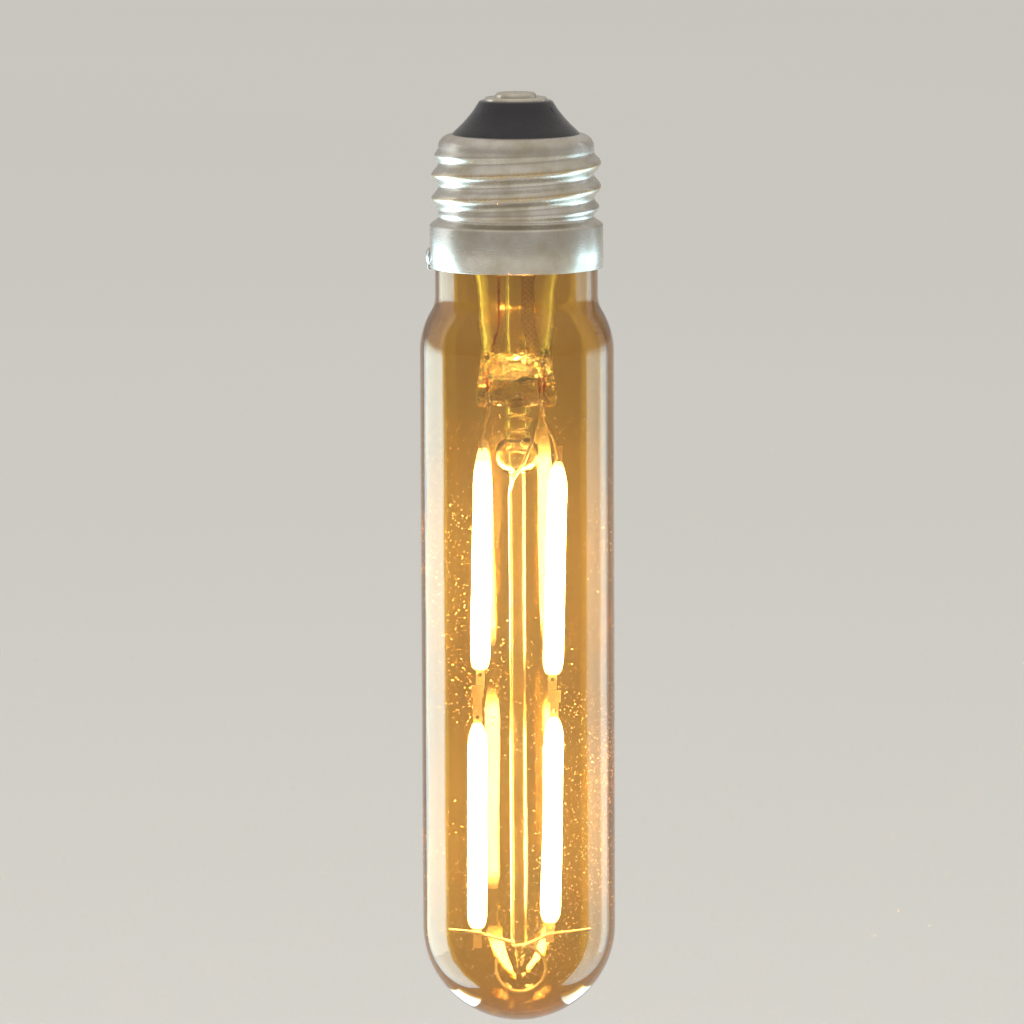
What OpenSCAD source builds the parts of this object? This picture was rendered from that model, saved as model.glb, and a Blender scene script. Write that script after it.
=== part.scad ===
// Tubular LED filament lamp with an E27 screw cap, hanging cap up.
// The origin is the middle of the centre contact's top face and +Z is up along the
// lamp's axis, so the whole lamp lies below the origin. X runs across the flat press
// of the stem, from the left filaments to the right ones, and -Y is the front.
// The overall length follows from the cap, the stem, the two filaments of the left
// string and the space that the dome keeps below them.

/* [Fit] */
// Gap between pieces that fit into or onto each other
fit = 0.03; // [0.02:0.01:0.06]

/* [Glass bulb] */
// Outside diameter of the tube
tube_d = 30; // [28:0.5:34]
// Wall of the tube, the dome and the neck
glass_wall = 1; // [0.8:0.1:1.2]
// Outside diameter of the neck, which goes into the cap
neck_d = 25.2; // [24.8:0.2:26.4]
// Straight length of neck that shows below the cap
neck_len = 4.3; // [2:0.1:8]
// Depth that the neck goes into the cap
neck_in = 5.2; // [4.6:0.1:5.4]
// Radius of the shoulder where it leaves the tube
shoulder_r = 12; // [8:0.5:16]
// Radius of the hollow where the shoulder meets the neck
hollow_r = 5; // [3:0.5:8]

/* [Stem] */
// Length of the stem, from its rim to the bottom of the press
stem_len = 27.7; // [26.5:0.1:30]
// Thickness of the rim that is fused to the end of the neck
rim_t = 0.9; // [0.7:0.1:1]
// Length of the flare below the rim
flare_len = 12.3; // [10:0.1:13]
// Outside diameter of the stem's tube under the flare
stem_d = 12.2; // [11.6:0.1:13]
// Outside diameter at the waist above the press
waist_d = 11; // [10.6:0.1:11.6]
// Wall of the stem's tube
stem_wall = 0.9; // [0.7:0.1:1]
// Height of the press, from the waist to its bottom
press_h = 7.2; // [6.6:0.1:8]
// Width of the press
press_w = 12.4; // [11.6:0.1:13.4]
// Thickness of the press
press_t = 3.6; // [3.2:0.1:4]
// Outside diameter of the exhaust tube
exhaust_d = 3.7; // [3.2:0.1:3.8]
// Wall of the exhaust tube
exhaust_wall = 0.6; // [0.4:0.1:0.8]
// Height of the closed tip of the exhaust tube above the stem's rim
exhaust_rise = 3.9; // [2:0.1:5]

/* [Glass post] */
// Outside diameter of the stepped tube under the press
post_tube_d = 3.75; // [3.4:0.05:4]
// Bore of the stepped tube
post_bore = 1; // [0.6:0.1:1.4]
// Length of the stepped tube below the press
post_tube_len = 5; // [4:0.1:6]
// Depth that the stepped tube goes into the press
post_socket = 2.1; // [1.5:0.1:2.5]
// Width of the hollow ball
ball_w = 6.7; // [6:0.1:7]
// Height of the hollow ball
ball_h = 5.6; // [5:0.1:6]
// Wall of the hollow ball
ball_wall = 0.5; // [0.4:0.1:0.7]
// Diameter of the long rod
rod_d = 2.5; // [2:0.1:2.8]
// Length of the rod inside the ball
rod_in = 3.6; // [2:0.1:4]
// Height of the rod's lower shoulder above the end of the dome
rod_rise = 11.2; // [10:0.1:13]
// Length of the rod's tapered tip
rod_tip = 2.75; // [1:0.05:3.5]

/* [Wires] */
// Diameter of the nickel wires inside the bulb and of the seals in the press
wire_d = 0.5; // [0.4:0.05:0.6]
// Diameter of the copper leads in the stem
lead_d = 0.4; // [0.3:0.05:0.5]
// Distance of the left seal in the press from the axis
seal_left = 4.4; // [3.6:0.1:4.8]
// Distance of the right seal in the press from the axis
seal_right = 4.2; // [4:0.1:4.8]
// Distance of the return wire's seal in the press from the axis
seal_return = 3.4; // [3:0.1:3.8]
// Distance by which the right and return seals lie behind and before the middle
seal_stagger = 0.65; // [0.4:0.05:0.8]
// Outside diameter of the insulating sleeve
sleeve_d = 2; // [1.4:0.1:2.2]
// Wall of the insulating sleeve
sleeve_wall = 0.4; // [0.3:0.05:0.5]
// Reach of the left cross wire from the axis
support_left = 11.1; // [9:0.1:12]
// Reach of the right cross wire from the axis
support_right = 11.15; // [9:0.1:12]
// Radius of the wire loop under the rod, to the middle of its wire
loop_r = 3.9; // [3:0.1:4.5]

/* [Filaments] */
// Length of each phosphor jacket
phosphor_len = 32.4; // [30:0.2:34]
// Diameter of each phosphor jacket
phosphor_d = 3; // [2.4:0.1:3.4]
// Diameter of the rounded ends of the jackets
phosphor_tip_d = 1.9; // [1.7:0.1:2.2]
// Length over which a jacket tapers to its end
phosphor_taper = 3.2; // [2:0.1:5]
// Width of the strip that carries the chips
strip_w = 0.8; // [0.6:0.05:1]
// Thickness of the strip
strip_t = 0.4; // [0.3:0.05:0.5]
// Number of chips in one filament
chip_count = 28; // [20:1:32]
// Length of one chip
chip_len = 0.7; // [0.5:0.05:0.8]
// Width of one chip
chip_w = 0.35; // [0.25:0.05:0.45]
// Thickness of one chip
chip_t = 0.12; // [0.08:0.01:0.2]
// Width of the metal tabs at the ends of the filaments
tab_w = 1.35; // [1.1:0.05:1.6]
// Thickness of the tabs
tab_t = 0.3; // [0.2:0.05:0.4]
// Length of a tab outside its jacket
tab_len = 3.3; // [2.8:0.1:3.8]
// Length of a tab inside its jacket
tab_in = 1; // [0.6:0.1:1.5]
// Diameter of the small hole in a tab
tab_hole = 0.6; // [0.4:0.05:0.8]
// Width of the wide head by which a lower filament is welded to an upper one
head_w = 1.9; // [1.6:0.1:2.4]
// Overlap of two tabs that are welded together
weld_lap = 0.8; // [0.5:0.1:1.2]
// Middle of the upper left filament, across the lamp
upper_left_x = -5.6; // [-6.5:0.1:-5]
// Middle of the upper right filament, across the lamp
upper_right_x = 5.9; // [5:0.1:6.5]
// Middle of the lower left filament, across the lamp
lower_left_x = -6.4; // [-7:0.1:-5.6]
// Middle of the lower right filament, across the lamp
lower_right_x = 5.2; // [4.6:0.1:6]
// Lean of the upper left filament, in degrees, with its top to the right
upper_left_lean = 1; // [-1:0.1:2]
// Lean of the upper right filament, in degrees, with its top to the right
upper_right_lean = 1.8; // [-1:0.1:2]
// Lean of the lower left filament, in degrees, with its top to the right
lower_left_lean = 0.3; // [-1:0.1:1]
// Lean of the lower right filament, in degrees, with its top to the right
lower_right_lean = 1.3; // [-1:0.1:1.6]
// Distance from the press down to the upper left jacket
upper_left_drop = 8.7; // [7.5:0.1:10]
// Distance from the press down to the upper right jacket
upper_right_drop = 9.5; // [7.5:0.1:10]
// Distance between the two jackets of the left string
string_gap = 8.4; // [7:0.1:14]
// Height of the lower left jacket above the end of the dome
lower_left_rise = 14.5; // [13.5:0.1:16]
// Height of the lower right jacket above the end of the dome
lower_right_rise = 15.4; // [14.5:0.1:16]

/* [Cap] */
// Height of the cap, from the centre contact to the edge of the skirt
cap_h = 27; // [26:0.1:29]
// Largest diameter of the screw thread
thread_d = 26.2; // [26.05:0.05:26.45]
// Depth of the screw thread
thread_depth = 1.05; // [0.9:0.05:1.15]
// Pitch of the screw thread
thread_pitch = 3.629; // [3.6:0.001:3.65]
// Thickness of the cap's sheet metal
cap_wall = 0.3; // [0.2:0.05:0.35]
// Height of the plain skirt
skirt_h = 7.8; // [7.4:0.1:8.4]
// Diameter of the hole in the top of the shell
shell_hole_d = 19.8; // [18:0.1:21]
// Thickness of the cement between the neck and the skirt
cement_t = 0.5; // [0.45:0.05:0.7]
// Diameter of the contact plate
plate_d = 9.8; // [8:0.1:11]
// Thickness of the contact plate
plate_t = 0.5; // [0.4:0.1:0.8]
// Diameter of the contact rivet's head
rivet_d = 6.4; // [5:0.1:7]
// Height of the contact rivet's head
rivet_h = 0.7; // [0.5:0.1:1]
// Diameter of the contact rivet's shank
shank_d = 2.2; // [1.6:0.1:2.4]
// Length of the contact rivet's shank
shank_len = 4.5; // [3:0.1:5]
// Height of the black glass insulator that shows above the shell
insulator_h = 5.2; // [4.4:0.1:5.6]
// Depth of the insulator below the top of the shell
insulator_in = 2.9; // [2.6:0.1:3.4]

/* [Driver] */
// Diameter of the driver board
board_d = 17.6; // [16.5:0.1:19]
// Thickness of the driver board
board_t = 1; // [0.8:0.1:1.6]
// Gap between the insulator and the parts on the board
head_room = 0.6; // [0.4:0.1:1]
// Diameter of the capacitor
can_d = 6; // [5:0.1:6.3]
// Height of the capacitor
can_h = 7.5; // [5:0.1:8.5]
// Length of the fuse resistor's body
fuse_len = 6.5; // [5:0.1:7]
// Diameter of the fuse resistor's body
fuse_d = 2.4; // [2:0.1:2.6]
// Gap between the board and the fuse resistor's body
fuse_lift = 0.5; // [0.2:0.1:0.8]
// Side of the rectifier's square body
rectifier_w = 4.4; // [4:0.1:4.8]
// Height of the rectifier's body
rectifier_h = 2.2; // [1.6:0.1:2.4]
// Length of the driver chip's body
ic_len = 4.9; // [4.4:0.1:5.2]
// Width of the driver chip's body
ic_w = 3.8; // [3.4:0.1:4.2]
// Height of the driver chip's body
ic_h = 1.5; // [1.2:0.1:1.8]
// Length of a chip resistor
resistor_len = 2; // [1.6:0.1:2.2]
// Height of a chip resistor
resistor_h = 0.55; // [0.4:0.05:0.7]

/* [Hidden] */
FILAMENTS = ["upper_left", "upper_right", "lower_left", "lower_right"];
FILAMENT_PIECES = ["strip_", "chips_", "phosphor_", "tabs_"];
FILAMENT_NODES = [for (f = FILAMENTS) for (piece = FILAMENT_PIECES) str(piece, f)];

// Steps of a quarter circle in a turned outline, sides of a wire, sides of the shell
STEPS = 12;
WIRE_SIDES = 10;
SHELL_SIDES = 40;
RINGS_PER_TURN = 8;
$fn = 48;
EPS = 0.01;

// Heights, all measured down from the centre contact
skirt_z = -cap_h;
neck_top_z = skirt_z + neck_in;
rim_z = neck_top_z + rim_t;
hollow_z = skirt_z - neck_len;
flare_z = neck_top_z - flare_len;
press_z = rim_z - stem_len;
waist_z = press_z + press_h;
post_top_z = press_z + post_socket;
ball_top_z = press_z - post_tube_len;
ball_bot_z = ball_top_z - ball_h;
rod_top_z = ball_bot_z + rod_in;
apex_z = press_z - upper_left_drop - 2*phosphor_len - string_gap - lower_left_rise;
dome_z = apex_z + tube_d/2;
rod_end_z = apex_z + rod_rise;

// The shoulder is two arcs that meet on one slope
shoulder_turn = acos(1 - (tube_d - neck_d)/2/(shoulder_r + hollow_r));
shoulder_z = hollow_z - (shoulder_r + hollow_r)*sin(shoulder_turn);

// Filament places: middle across, height of the middle, lean and depth
half_len = phosphor_len/2;
lower_y = -tab_t;
MIDDLE = [
    [upper_left_x, 0, press_z - upper_left_drop - half_len],
    [upper_right_x, 0, press_z - upper_right_drop - half_len],
    [lower_left_x, lower_y, apex_z + lower_left_rise + half_len],
    [lower_right_x, lower_y, apex_z + lower_right_rise + half_len]
];
LEAN = [upper_left_lean, upper_right_lean, lower_left_lean, lower_right_lean];
// A lower filament's top tab reaches up to the upper filament's bottom tab
top_tab = [
    tab_len,
    tab_len,
    MIDDLE[0][2] - MIDDLE[2][2] - phosphor_len - tab_len + weld_lap,
    MIDDLE[1][2] - MIDDLE[3][2] - phosphor_len - tab_len + weld_lap
];

// Places where the three leads pass through the press
LEFT = [-seal_left, 0];
RIGHT = [seal_right, seal_stagger];
RETURN = [seal_return, -seal_stagger];
seal_top_z = waist_z - 1.4;
seal_bot_z = press_z + 2.2;
lead_foot_z = waist_z - 1;

// Board, from the insulator down
plate_z = -rivet_h - plate_t;
shell_top_z = plate_z - insulator_h;
insulator_bot_z = shell_top_z - insulator_in;
board_top_z = insulator_bot_z - head_room - max(rectifier_h, fuse_lift + fuse_d);
board_bot_z = board_top_z - board_t;

// Cap
skirt_in_r = neck_d/2 + cement_t;
skirt_r = skirt_in_r + cap_wall;
root_r = thread_d/2 - thread_depth;
thread_end_z = skirt_z + skirt_h;
crown_h = 2;

// Points and vectors
function unit(v) = v/norm(v);
function mix(a, b, t) = a + (b - a)*t;
function arc(c, rx, ry, a0, a1, n) =
    [for (i = [0:n]) let (a = mix(a0, a1, i/n)) c + [rx*cos(a), ry*sin(a)]];
function reversed(p) = [for (i = [len(p) - 1:-1:0]) p[i]];
function smooth(t) = let (c = min(max(t, 0), 1)) c*c*(3 - 2*c);

// Point on a filament's own axis, at a distance up from its middle
function on_filament(i, s) = MIDDLE[i] + s*[sin(LEAN[i]), 0, cos(LEAN[i])];

// Direction of a path at one of its points
function heading(p, i) =
    i == 0 ? unit(p[1] - p[0])
    : i == len(p) - 1 ? unit(p[i] - p[i - 1])
    : unit(unit(p[i + 1] - p[i]) + unit(p[i] - p[i - 1]));

// Side vectors that don't twist along the path
function first_side(t) = unit(cross(t, abs(t[1]) < 0.9 ? [0, 1, 0] : [1, 0, 0]));
function side_vectors(p, i = 0, out = []) =
    i == len(p) ? out
    : let (t = heading(p, i), s = i == 0 ? first_side(t) : out[i - 1])
      side_vectors(p, i + 1, concat(out, [unit(s - t*(s*t))]));

// Path with its corners rounded, each by a short curve
function corner(a, b, c, cut) =
    let (d = min(cut, norm(b - a)/2.2, norm(c - b)/2.2))
    let (u = b + d*unit(a - b), w = b + d*unit(c - b))
    [for (t = [0:0.25:1]) mix(mix(u, b, t), mix(b, w, t), t)];
function rounded(p, cut) = concat(
    [p[0]],
    [for (i = [1:len(p) - 2]) each corner(p[i - 1], p[i], p[i + 1], cut)],
    [p[len(p) - 1]]
);

// Rings of points round a path
function ring_points(p, r) =
    let (s = side_vectors(p))
    [for (i = [0:len(p) - 1]) let (v = cross(heading(p, i), s[i]))
        for (k = [0:WIRE_SIDES - 1]) let (a = 360*k/WIRE_SIDES) p[i] + r*(s[i]*cos(a) + v*sin(a))];

// Two triangles of the wall between two rings
function wall_pair(low, high, k, n) =
    let (m = (k + 1)%n)
    [[low + k, high + k, high + m], [low + k, high + m, low + m]];

// Solid round wire along a path
module wire(p, d) {
    n = WIRE_SIDES;
    last = len(p) - 1;
    walls = [for (i = [0:last - 1]) for (k = [0:n - 1]) each wall_pair(i*n, (i + 1)*n, k, n)];
    start = [for (k = [1:n - 2]) [0, k, k + 1]];
    end = [for (k = [1:n - 2]) [last*n, last*n + k + 1, last*n + k]];
    polyhedron(ring_points(p, d/2), concat(walls, start, end), convexity = 6);
}

// Hollow round sleeve along a path
module sleeve(p, d, bore) {
    n = WIRE_SIDES;
    count = len(p);
    points = concat(ring_points(p, d/2), ring_points(p, bore/2));
    order = concat([for (i = [0:count - 1]) i], [for (i = [count - 1:-1:0]) count + i]);
    walls = [for (i = [0:2*count - 1]) let (next = order[(i + 1)%(2*count)])
        for (k = [0:n - 1]) each wall_pair(order[i]*n, next*n, k, n)];
    polyhedron(points, walls, convexity = 6);
}

// Straight pin between two points
module straight(a, b, d) {
    v = b - a;
    translate(a) rotate([0, acos(v[2]/norm(v)), atan2(v[1], v[0])]) cylinder(h = norm(v), d = d);
}

// Outline of the bulb, smaller by an inset all round
function bulb_outline(inset) =
    let (hollow = hollow_r + inset, shoulder = shoulder_r - inset, tube = tube_d/2 - inset)
    concat(
        [[neck_d/2 - inset, neck_top_z]],
        arc([neck_d/2 + hollow_r, hollow_z], hollow, hollow, 180, 180 + shoulder_turn, 5),
        arc([tube_d/2 - shoulder_r, shoulder_z], shoulder, shoulder, shoulder_turn, 0, 6),
        arc([0, dome_z], tube, tube, 0, -90, 2*STEPS)
    );

module glass_envelope() {
    color([0.85, 0.6, 0.25, 0.35])
        rotate_extrude()
            polygon(concat(bulb_outline(0), reversed(bulb_outline(glass_wall))));
}

// Half outlines of the stem above the press, outside and inside. The flare stands off
// from the neck and is fused to it at the rim.
flare_gap = 0.15;
rim_out_r = neck_d/2 - glass_wall - flare_gap;
rim_in_r = rim_out_r - stem_wall;
function stem_outer() = concat(
    [[neck_d/2, rim_z], [neck_d/2, neck_top_z]],
    [for (a = [0:90/STEPS:90])
        [rim_out_r - (rim_out_r - stem_d/2)*sin(a), flare_z + flare_len*cos(a)]],
    [[waist_d/2, waist_z]]
);
function stem_inner() = concat(
    [for (a = [0:90/STEPS:90]) let (near = stem_d/2 - stem_wall)
        [rim_in_r - (rim_in_r - near)*sin(a), flare_z + (rim_z - flare_z)*cos(a)]],
    [[waist_d/2 - stem_wall, waist_z]]
);
function stem_hollow() = concat(stem_inner(), [[0, waist_z], [0, rim_z]]);

// One slab across the press, used where the round tube turns into the flat press
module press_slab(z, w, t) {
    translate([0, 0, z])
        linear_extrude(EPS)
            hull()
                for (x = [-1, 1])
                    translate([x*(w - t)/2, 0])
                        circle(d = t, $fn = 24);
}

// The tube is squeezed in two steps: first wide and still thick, then flat
module press_glass() {
    mid_z = waist_z - 0.36*press_h;
    mid_w = press_w - 0.5;
    mid_t = press_t + 1;
    hull() {
        translate([0, 0, waist_z - EPS])
            cylinder(h = EPS, d = waist_d, $fn = 32);
        press_slab(mid_z, mid_w, mid_t);
    }
    hull() {
        press_slab(mid_z, mid_w, mid_t);
        press_slab(press_z, press_w, press_t);
    }
}

// Hollow that runs on below the waist and closes to a slit
module press_hollow() {
    slit_w = press_w - 2.8;
    slit_t = 1.4;
    hull() {
        translate([0, 0, waist_z - EPS])
            cylinder(h = 2*EPS, d = waist_d - 2*stem_wall, $fn = 32);
        press_slab(seal_top_z, slit_w, slit_t);
    }
}

// Slanted hole through which the bulb was pumped, out of the front of the press
exhaust_foot_z = seal_top_z - 0.6;
module pump_hole() {
    hole_d = 1.2;
    drop = 1.6;
    straight([0, 0, exhaust_foot_z + EPS], [0, -press_t, exhaust_foot_z - drop], hole_d);
}

module stem_flare() {
    color([0.95, 0.9, 0.8, 0.4])
        difference() {
            union() {
                rotate_extrude()
                    polygon(concat(stem_outer(), [[0, waist_z], [0, rim_z]]));
                press_glass();
            }
            rotate_extrude()
                polygon(stem_hollow());
            press_hollow();
            translate([0, 0, exhaust_foot_z])
                cylinder(h = waist_z - exhaust_foot_z + EPS, d = exhaust_d + 2*fit);
            translate([0, 0, press_z - EPS])
                cylinder(h = post_socket + EPS, d = post_tube_d + 2*fit);
            for (p = [LEFT, RIGHT, RETURN])
                translate([p[0], p[1], press_z - EPS])
                    cylinder(h = seal_top_z - press_z + 1, d = wire_d + 2*fit);
            pump_hole();
        }
}

module exhaust_tube() {
    tip_z = rim_z + exhaust_rise;
    outer_r = exhaust_d/2;
    inner_r = outer_r - exhaust_wall;
    taper = 3;
    bore_taper = 1.6;
    neck_z = tip_z - taper;
    color([0.9, 0.9, 0.85, 0.4])
        rotate_extrude()
            polygon(concat(
                [[inner_r, exhaust_foot_z], [outer_r, exhaust_foot_z]],
                arc([0, neck_z], outer_r, taper, 0, 90, 8),
                reversed(arc([0, neck_z], inner_r, bore_taper, 0, 90, 8))
            ));
}

// Stepped tube: three beads, each wider at its top
module post_tube() {
    beads = 3;
    beaded_len = 0.9*post_tube_len;
    bead = beaded_len/beads;
    wide = post_tube_d/2;
    narrow = wide - 0.17;
    foot = wide - 0.05;
    top = ball_top_z + beaded_len;
    steps = [[wide, 0.4], [narrow, 0.6], [narrow, 0.85], [foot, 1]];
    color([0.95, 0.93, 0.85, 0.5])
        rotate_extrude()
            polygon(concat(
                [[post_bore/2, post_top_z], [wide, post_top_z], [wide, top]],
                [for (i = [0:beads - 1]) for (step = steps)
                    [step[0], top - (i + step[1])*bead]],
                [[post_bore/2, ball_top_z]]
            ));
}

// Hollow ball, a little taller than its height and cut flat at both ends
ball_mid_z = (ball_top_z + ball_bot_z)/2;
module ball_body(inset) {
    rx = ball_w/2 - inset;
    cut = 0.1;
    ry = ball_h/2 + cut - inset;
    translate([0, 0, ball_mid_z])
        rotate_extrude()
            intersection() {
                polygon(concat([[0, -ry]], arc([0, 0], rx, ry, -85, 85, 2*STEPS), [[0, ry]]));
                translate([0, -ball_h/2])
                    square([ball_w, ball_h]);
            }
}

module post_ball() {
    color([0.95, 0.93, 0.85, 0.4])
        difference() {
            ball_body(0);
            ball_body(ball_wall);
            translate([0, 0, ball_mid_z])
                cylinder(h = ball_h, d = post_bore);
            translate([0, 0, ball_bot_z - EPS])
                cylinder(h = ball_h/2, d = rod_d + 2*fit);
        }
}

module post_rod() {
    tip_r = 0.4;
    end_round = 0.5;
    dimple = 0.3;
    tip_z = rod_end_z - rod_tip;
    color([0.95, 0.93, 0.85, 0.5])
        rotate_extrude()
            polygon(concat(
                [[0, tip_z], [tip_r, tip_z]],
                [for (a = [15:15:90])
                    [tip_r + (rod_d/2 - tip_r)*sin(a), rod_end_z - rod_tip*cos(a)]],
                arc([rod_d/2 - end_round, rod_top_z - end_round], end_round, end_round, 0, 90, 5),
                [[0, rod_top_z - dimple]]
            ));
}

// Paths of the copper leads, from the press up beside the exhaust tube to the board.
// Each passes the tube at its own distance from the axis and its own angle round it.
board_holes = board_d*[[-0.26, 0.07], [0.27, 0.205], [0.195, -0.24]];
left_beside = exhaust_d/2 + lead_d/2 + 0.8;
right_beside = exhaust_d/2 + lead_d/2 + 1.4;
return_beside = exhaust_d/2 + sleeve_d/2 + 0.4;
lead_bend = 1.2;
drop_below_board = 2.5;
bend_rise = (rim_z - waist_z)*0.25;
function beside(r, a, z) = [r*cos(a), r*sin(a), z];
function lead_path(at, r, a, hole) = rounded([
    [at[0], at[1], lead_foot_z],
    [at[0], at[1], waist_z],
    beside(r, a, waist_z + bend_rise),
    beside(r, a, rim_z - bend_rise),
    [hole[0], hole[1], board_bot_z - drop_below_board],
    [hole[0], hole[1], board_top_z]
], lead_bend);
left_path = lead_path(LEFT, left_beside, 170, board_holes[0]);
right_path = lead_path(RIGHT, right_beside, 38, board_holes[1]);
return_path = lead_path(RETURN, return_beside, -59, board_holes[2]);
sleeve_low_z = waist_z - 0.4;
sleeve_high_z = board_bot_z - 2;
sleeve_path = [for (p = return_path) if (p[2] > sleeve_low_z && p[2] < sleeve_high_z) p];

module outer_lead_left() {
    color("peru")
        wire(left_path, lead_d);
}

module outer_lead_right() {
    color("peru")
        wire(right_path, lead_d);
}

module outer_lead_return() {
    color("peru")
        wire(return_path, lead_d);
}

module lead_sleeve() {
    color("khaki")
        sleeve(sleeve_path, sleeve_d, sleeve_d - 2*sleeve_wall);
}

module seal_wire(at) {
    color("firebrick")
        translate([at[0], at[1], seal_bot_z])
            cylinder(h = lead_foot_z - seal_bot_z, d = wire_d);
}

// Nickel wires inside the bulb
wire_lie = wire_d/2 + fit;
function tab_front(i, s) = on_filament(i, s) - [0, tab_t/2 + wire_lie, 0];

module inner_lead_left() {
    color("silver")
        wire(rounded([
            [LEFT[0], LEFT[1], seal_bot_z],
            [LEFT[0], LEFT[1], press_z - 0.8],
            tab_front(0, half_len + tab_len - 0.2) + [-0.3, 0, 0],
            tab_front(0, half_len + 0.8)
        ], 0.6), wire_d);
}

module inner_lead_right() {
    color("silver")
        wire(rounded([
            [RIGHT[0], RIGHT[1], seal_bot_z],
            [RIGHT[0], RIGHT[1], press_z - 2],
            tab_front(1, half_len + tab_len + 1.2) + [-0.9, 0, 0],
            tab_front(1, half_len + 1.2)
        ], 0.8), wire_d);
}

// The return wire passes in front of the ball and then lies along the rod
lie_a = [-1, -1]/sqrt(2)*(rod_d/2 + wire_lie);
ball_clear = ball_w/2 + wire_lie + 0.35;
return_end_z = rod_end_z + 0.8;
module return_wire() {
    color("silver")
        wire(rounded([
            [RETURN[0], RETURN[1], seal_bot_z],
            [RETURN[0], RETURN[1], press_z - 0.8],
            [0.3*ball_w, -ball_clear, ball_top_z - 0.6],
            [0.16*ball_w, -ball_clear - 0.1, ball_mid_z - 0.4],
            [-0.1*ball_w, -ball_clear*0.72, ball_bot_z - 0.6],
            [lie_a[0], lie_a[1], ball_bot_z - 2.4],
            [lie_a[0], lie_a[1], return_end_z]
        ], 0.8), wire_d);
}

// Cross wires at the bottom, each laid over the front of a lower tab
cross_z = rod_end_z + 1.15;
module support_wire(i, at, reach, low) {
    tab = tab_front(i, -half_len - low);
    run = (reach - abs(tab[0]))*sign(tab[0]);
    color("silver")
        wire([at, tab, tab + [run, -0.15, 0.12*abs(run)]], wire_d);
}

module support_wire_left() {
    support_wire(2, [lie_a[0] + 0.2, lie_a[1] - wire_d - fit, cross_z], support_left, 0.7);
}

// The loop starts at the end of the return wire, crosses the rod and runs round under it
loop_lie_y = -rod_d/2 - wire_lie - 0.1;
loop_z = rod_end_z + 0.7 - loop_r;
loop_x = 0.2;
function loop_path() = concat(
    [[lie_a[0], lie_a[1], return_end_z], [lie_a[0], lie_a[1], return_end_z - 0.3]],
    [[-0.3, loop_lie_y, rod_end_z + 0.62]],
    [for (a = [84:-12:-204]) let (t = smooth((84 - a)/150))
        [loop_x + loop_r*cos(a), loop_lie_y*(1 - t), loop_z + loop_r*sin(a)]]
);
module wire_loop() {
    color("silver")
        wire(loop_path(), wire_d);
}

module support_wire_right() {
    start = [loop_x + loop_r*cos(84), loop_lie_y - wire_d - 3*fit, loop_z + loop_r*sin(84)];
    support_wire(3, start, support_right, 1.9);
}

// Filament: everything is built round the origin and then put in its place
module place_filament(i) {
    translate(MIDDLE[i])
        rotate([0, LEAN[i], 0])
            children();
}

strip_len = phosphor_len - 2*tab_in;
chip_pitch = (strip_len - 1)/chip_count;
module strip_bar(gap) {
    cube([strip_w + 2*gap, strip_t + 2*gap, strip_len], center = true);
}

module strip(i) {
    color("white")
        place_filament(i)
            strip_bar(0);
}

module chips(i) {
    color("gold")
        place_filament(i)
            for (k = [0:chip_count - 1])
                translate([0, -strip_t/2 - chip_t/2 - fit/3, (k - (chip_count - 1)/2)*chip_pitch])
                    cube([chip_w, chip_t, min(chip_len, chip_pitch*0.8)], center = true);
}

module phosphor(i) {
    r = phosphor_d/2;
    tip_r = phosphor_tip_d/2;
    straight_end = half_len - phosphor_taper;
    top = [for (a = [90:-90/8:0]) [tip_r + (r - tip_r)*sin(a), straight_end + phosphor_taper*cos(a)]];
    bottom = [for (p = reversed(top)) [p[0], -p[1]]];
    chip_row = chip_t + 2*fit;
    color("lightyellow")
        place_filament(i)
            difference() {
                rotate_extrude()
                    polygon(concat([[0, -half_len]], bottom, top, [[0, half_len]]));
                strip_bar(fit);
                translate([0, -strip_t/2 - chip_row/2, 0])
                    cube([chip_w + 2*fit, chip_row + EPS, strip_len], center = true);
                for (side = [-1, 1])
                    translate([0, 0, side*(half_len - tab_in/2 + EPS)])
                        cube([strip_w + 2*fit, tab_t + 2*fit, tab_in + 4*EPS], center = true);
            }
}

// One tab: a tongue in the jacket and a plate with a small hole outside it
module tab(length, side, head) {
    difference() {
        union() {
            translate([-strip_w/2, -tab_t/2, side > 0 ? half_len - tab_in : -half_len - fit - EPS])
                cube([strip_w, tab_t, tab_in + fit + EPS]);
            translate([-tab_w/2, -tab_t/2, side > 0 ? half_len + fit : -half_len - length])
                cube([tab_w, tab_t, length - fit]);
            if (head > 0)
                translate([-head_w/2, -tab_t/2, half_len + length - head])
                    cube([head_w, tab_t, head]);
        }
        translate([0, tab_t, side*(half_len + 0.9)])
            rotate([90, 0, 0])
                cylinder(h = 2*tab_t, d = tab_hole, $fn = 24);
    }
}

module tabs(i) {
    color("silver")
        place_filament(i) {
            tab(top_tab[i], 1, i < 2 ? 0 : head_w);
            tab(tab_len, -1, 0);
        }
}

// Shell of the cap, pressed from sheet: crown, rolled thread and plain skirt.
// Each row is a height, a radius and how much of the thread shows there.
thread_top_z = shell_top_z - crown_h;
thread_rings = ceil((thread_top_z - thread_end_z)*RINGS_PER_TURN/thread_pitch);
function thread_share(z) = smooth((thread_top_z - z)/2)*smooth((z - thread_end_z)/2);
function shell_rows(inset) = concat(
    [for (a = [90:-18:18]) let (hole_r = shell_hole_d/2)
        [thread_top_z + (crown_h - inset)*sin(a), hole_r + (root_r - hole_r - inset)*cos(a), 0]],
    [for (i = [0:thread_rings]) let (z = mix(thread_top_z, thread_end_z, i/thread_rings))
        [z, root_r - inset, thread_share(z)]],
    [for (t = [0.35, 0.7, 1]) [thread_end_z - 1.3*t, mix(root_r, skirt_r, smooth(t)) - inset, 0]],
    [[skirt_z, skirt_r - inset, 0]]
);

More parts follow.
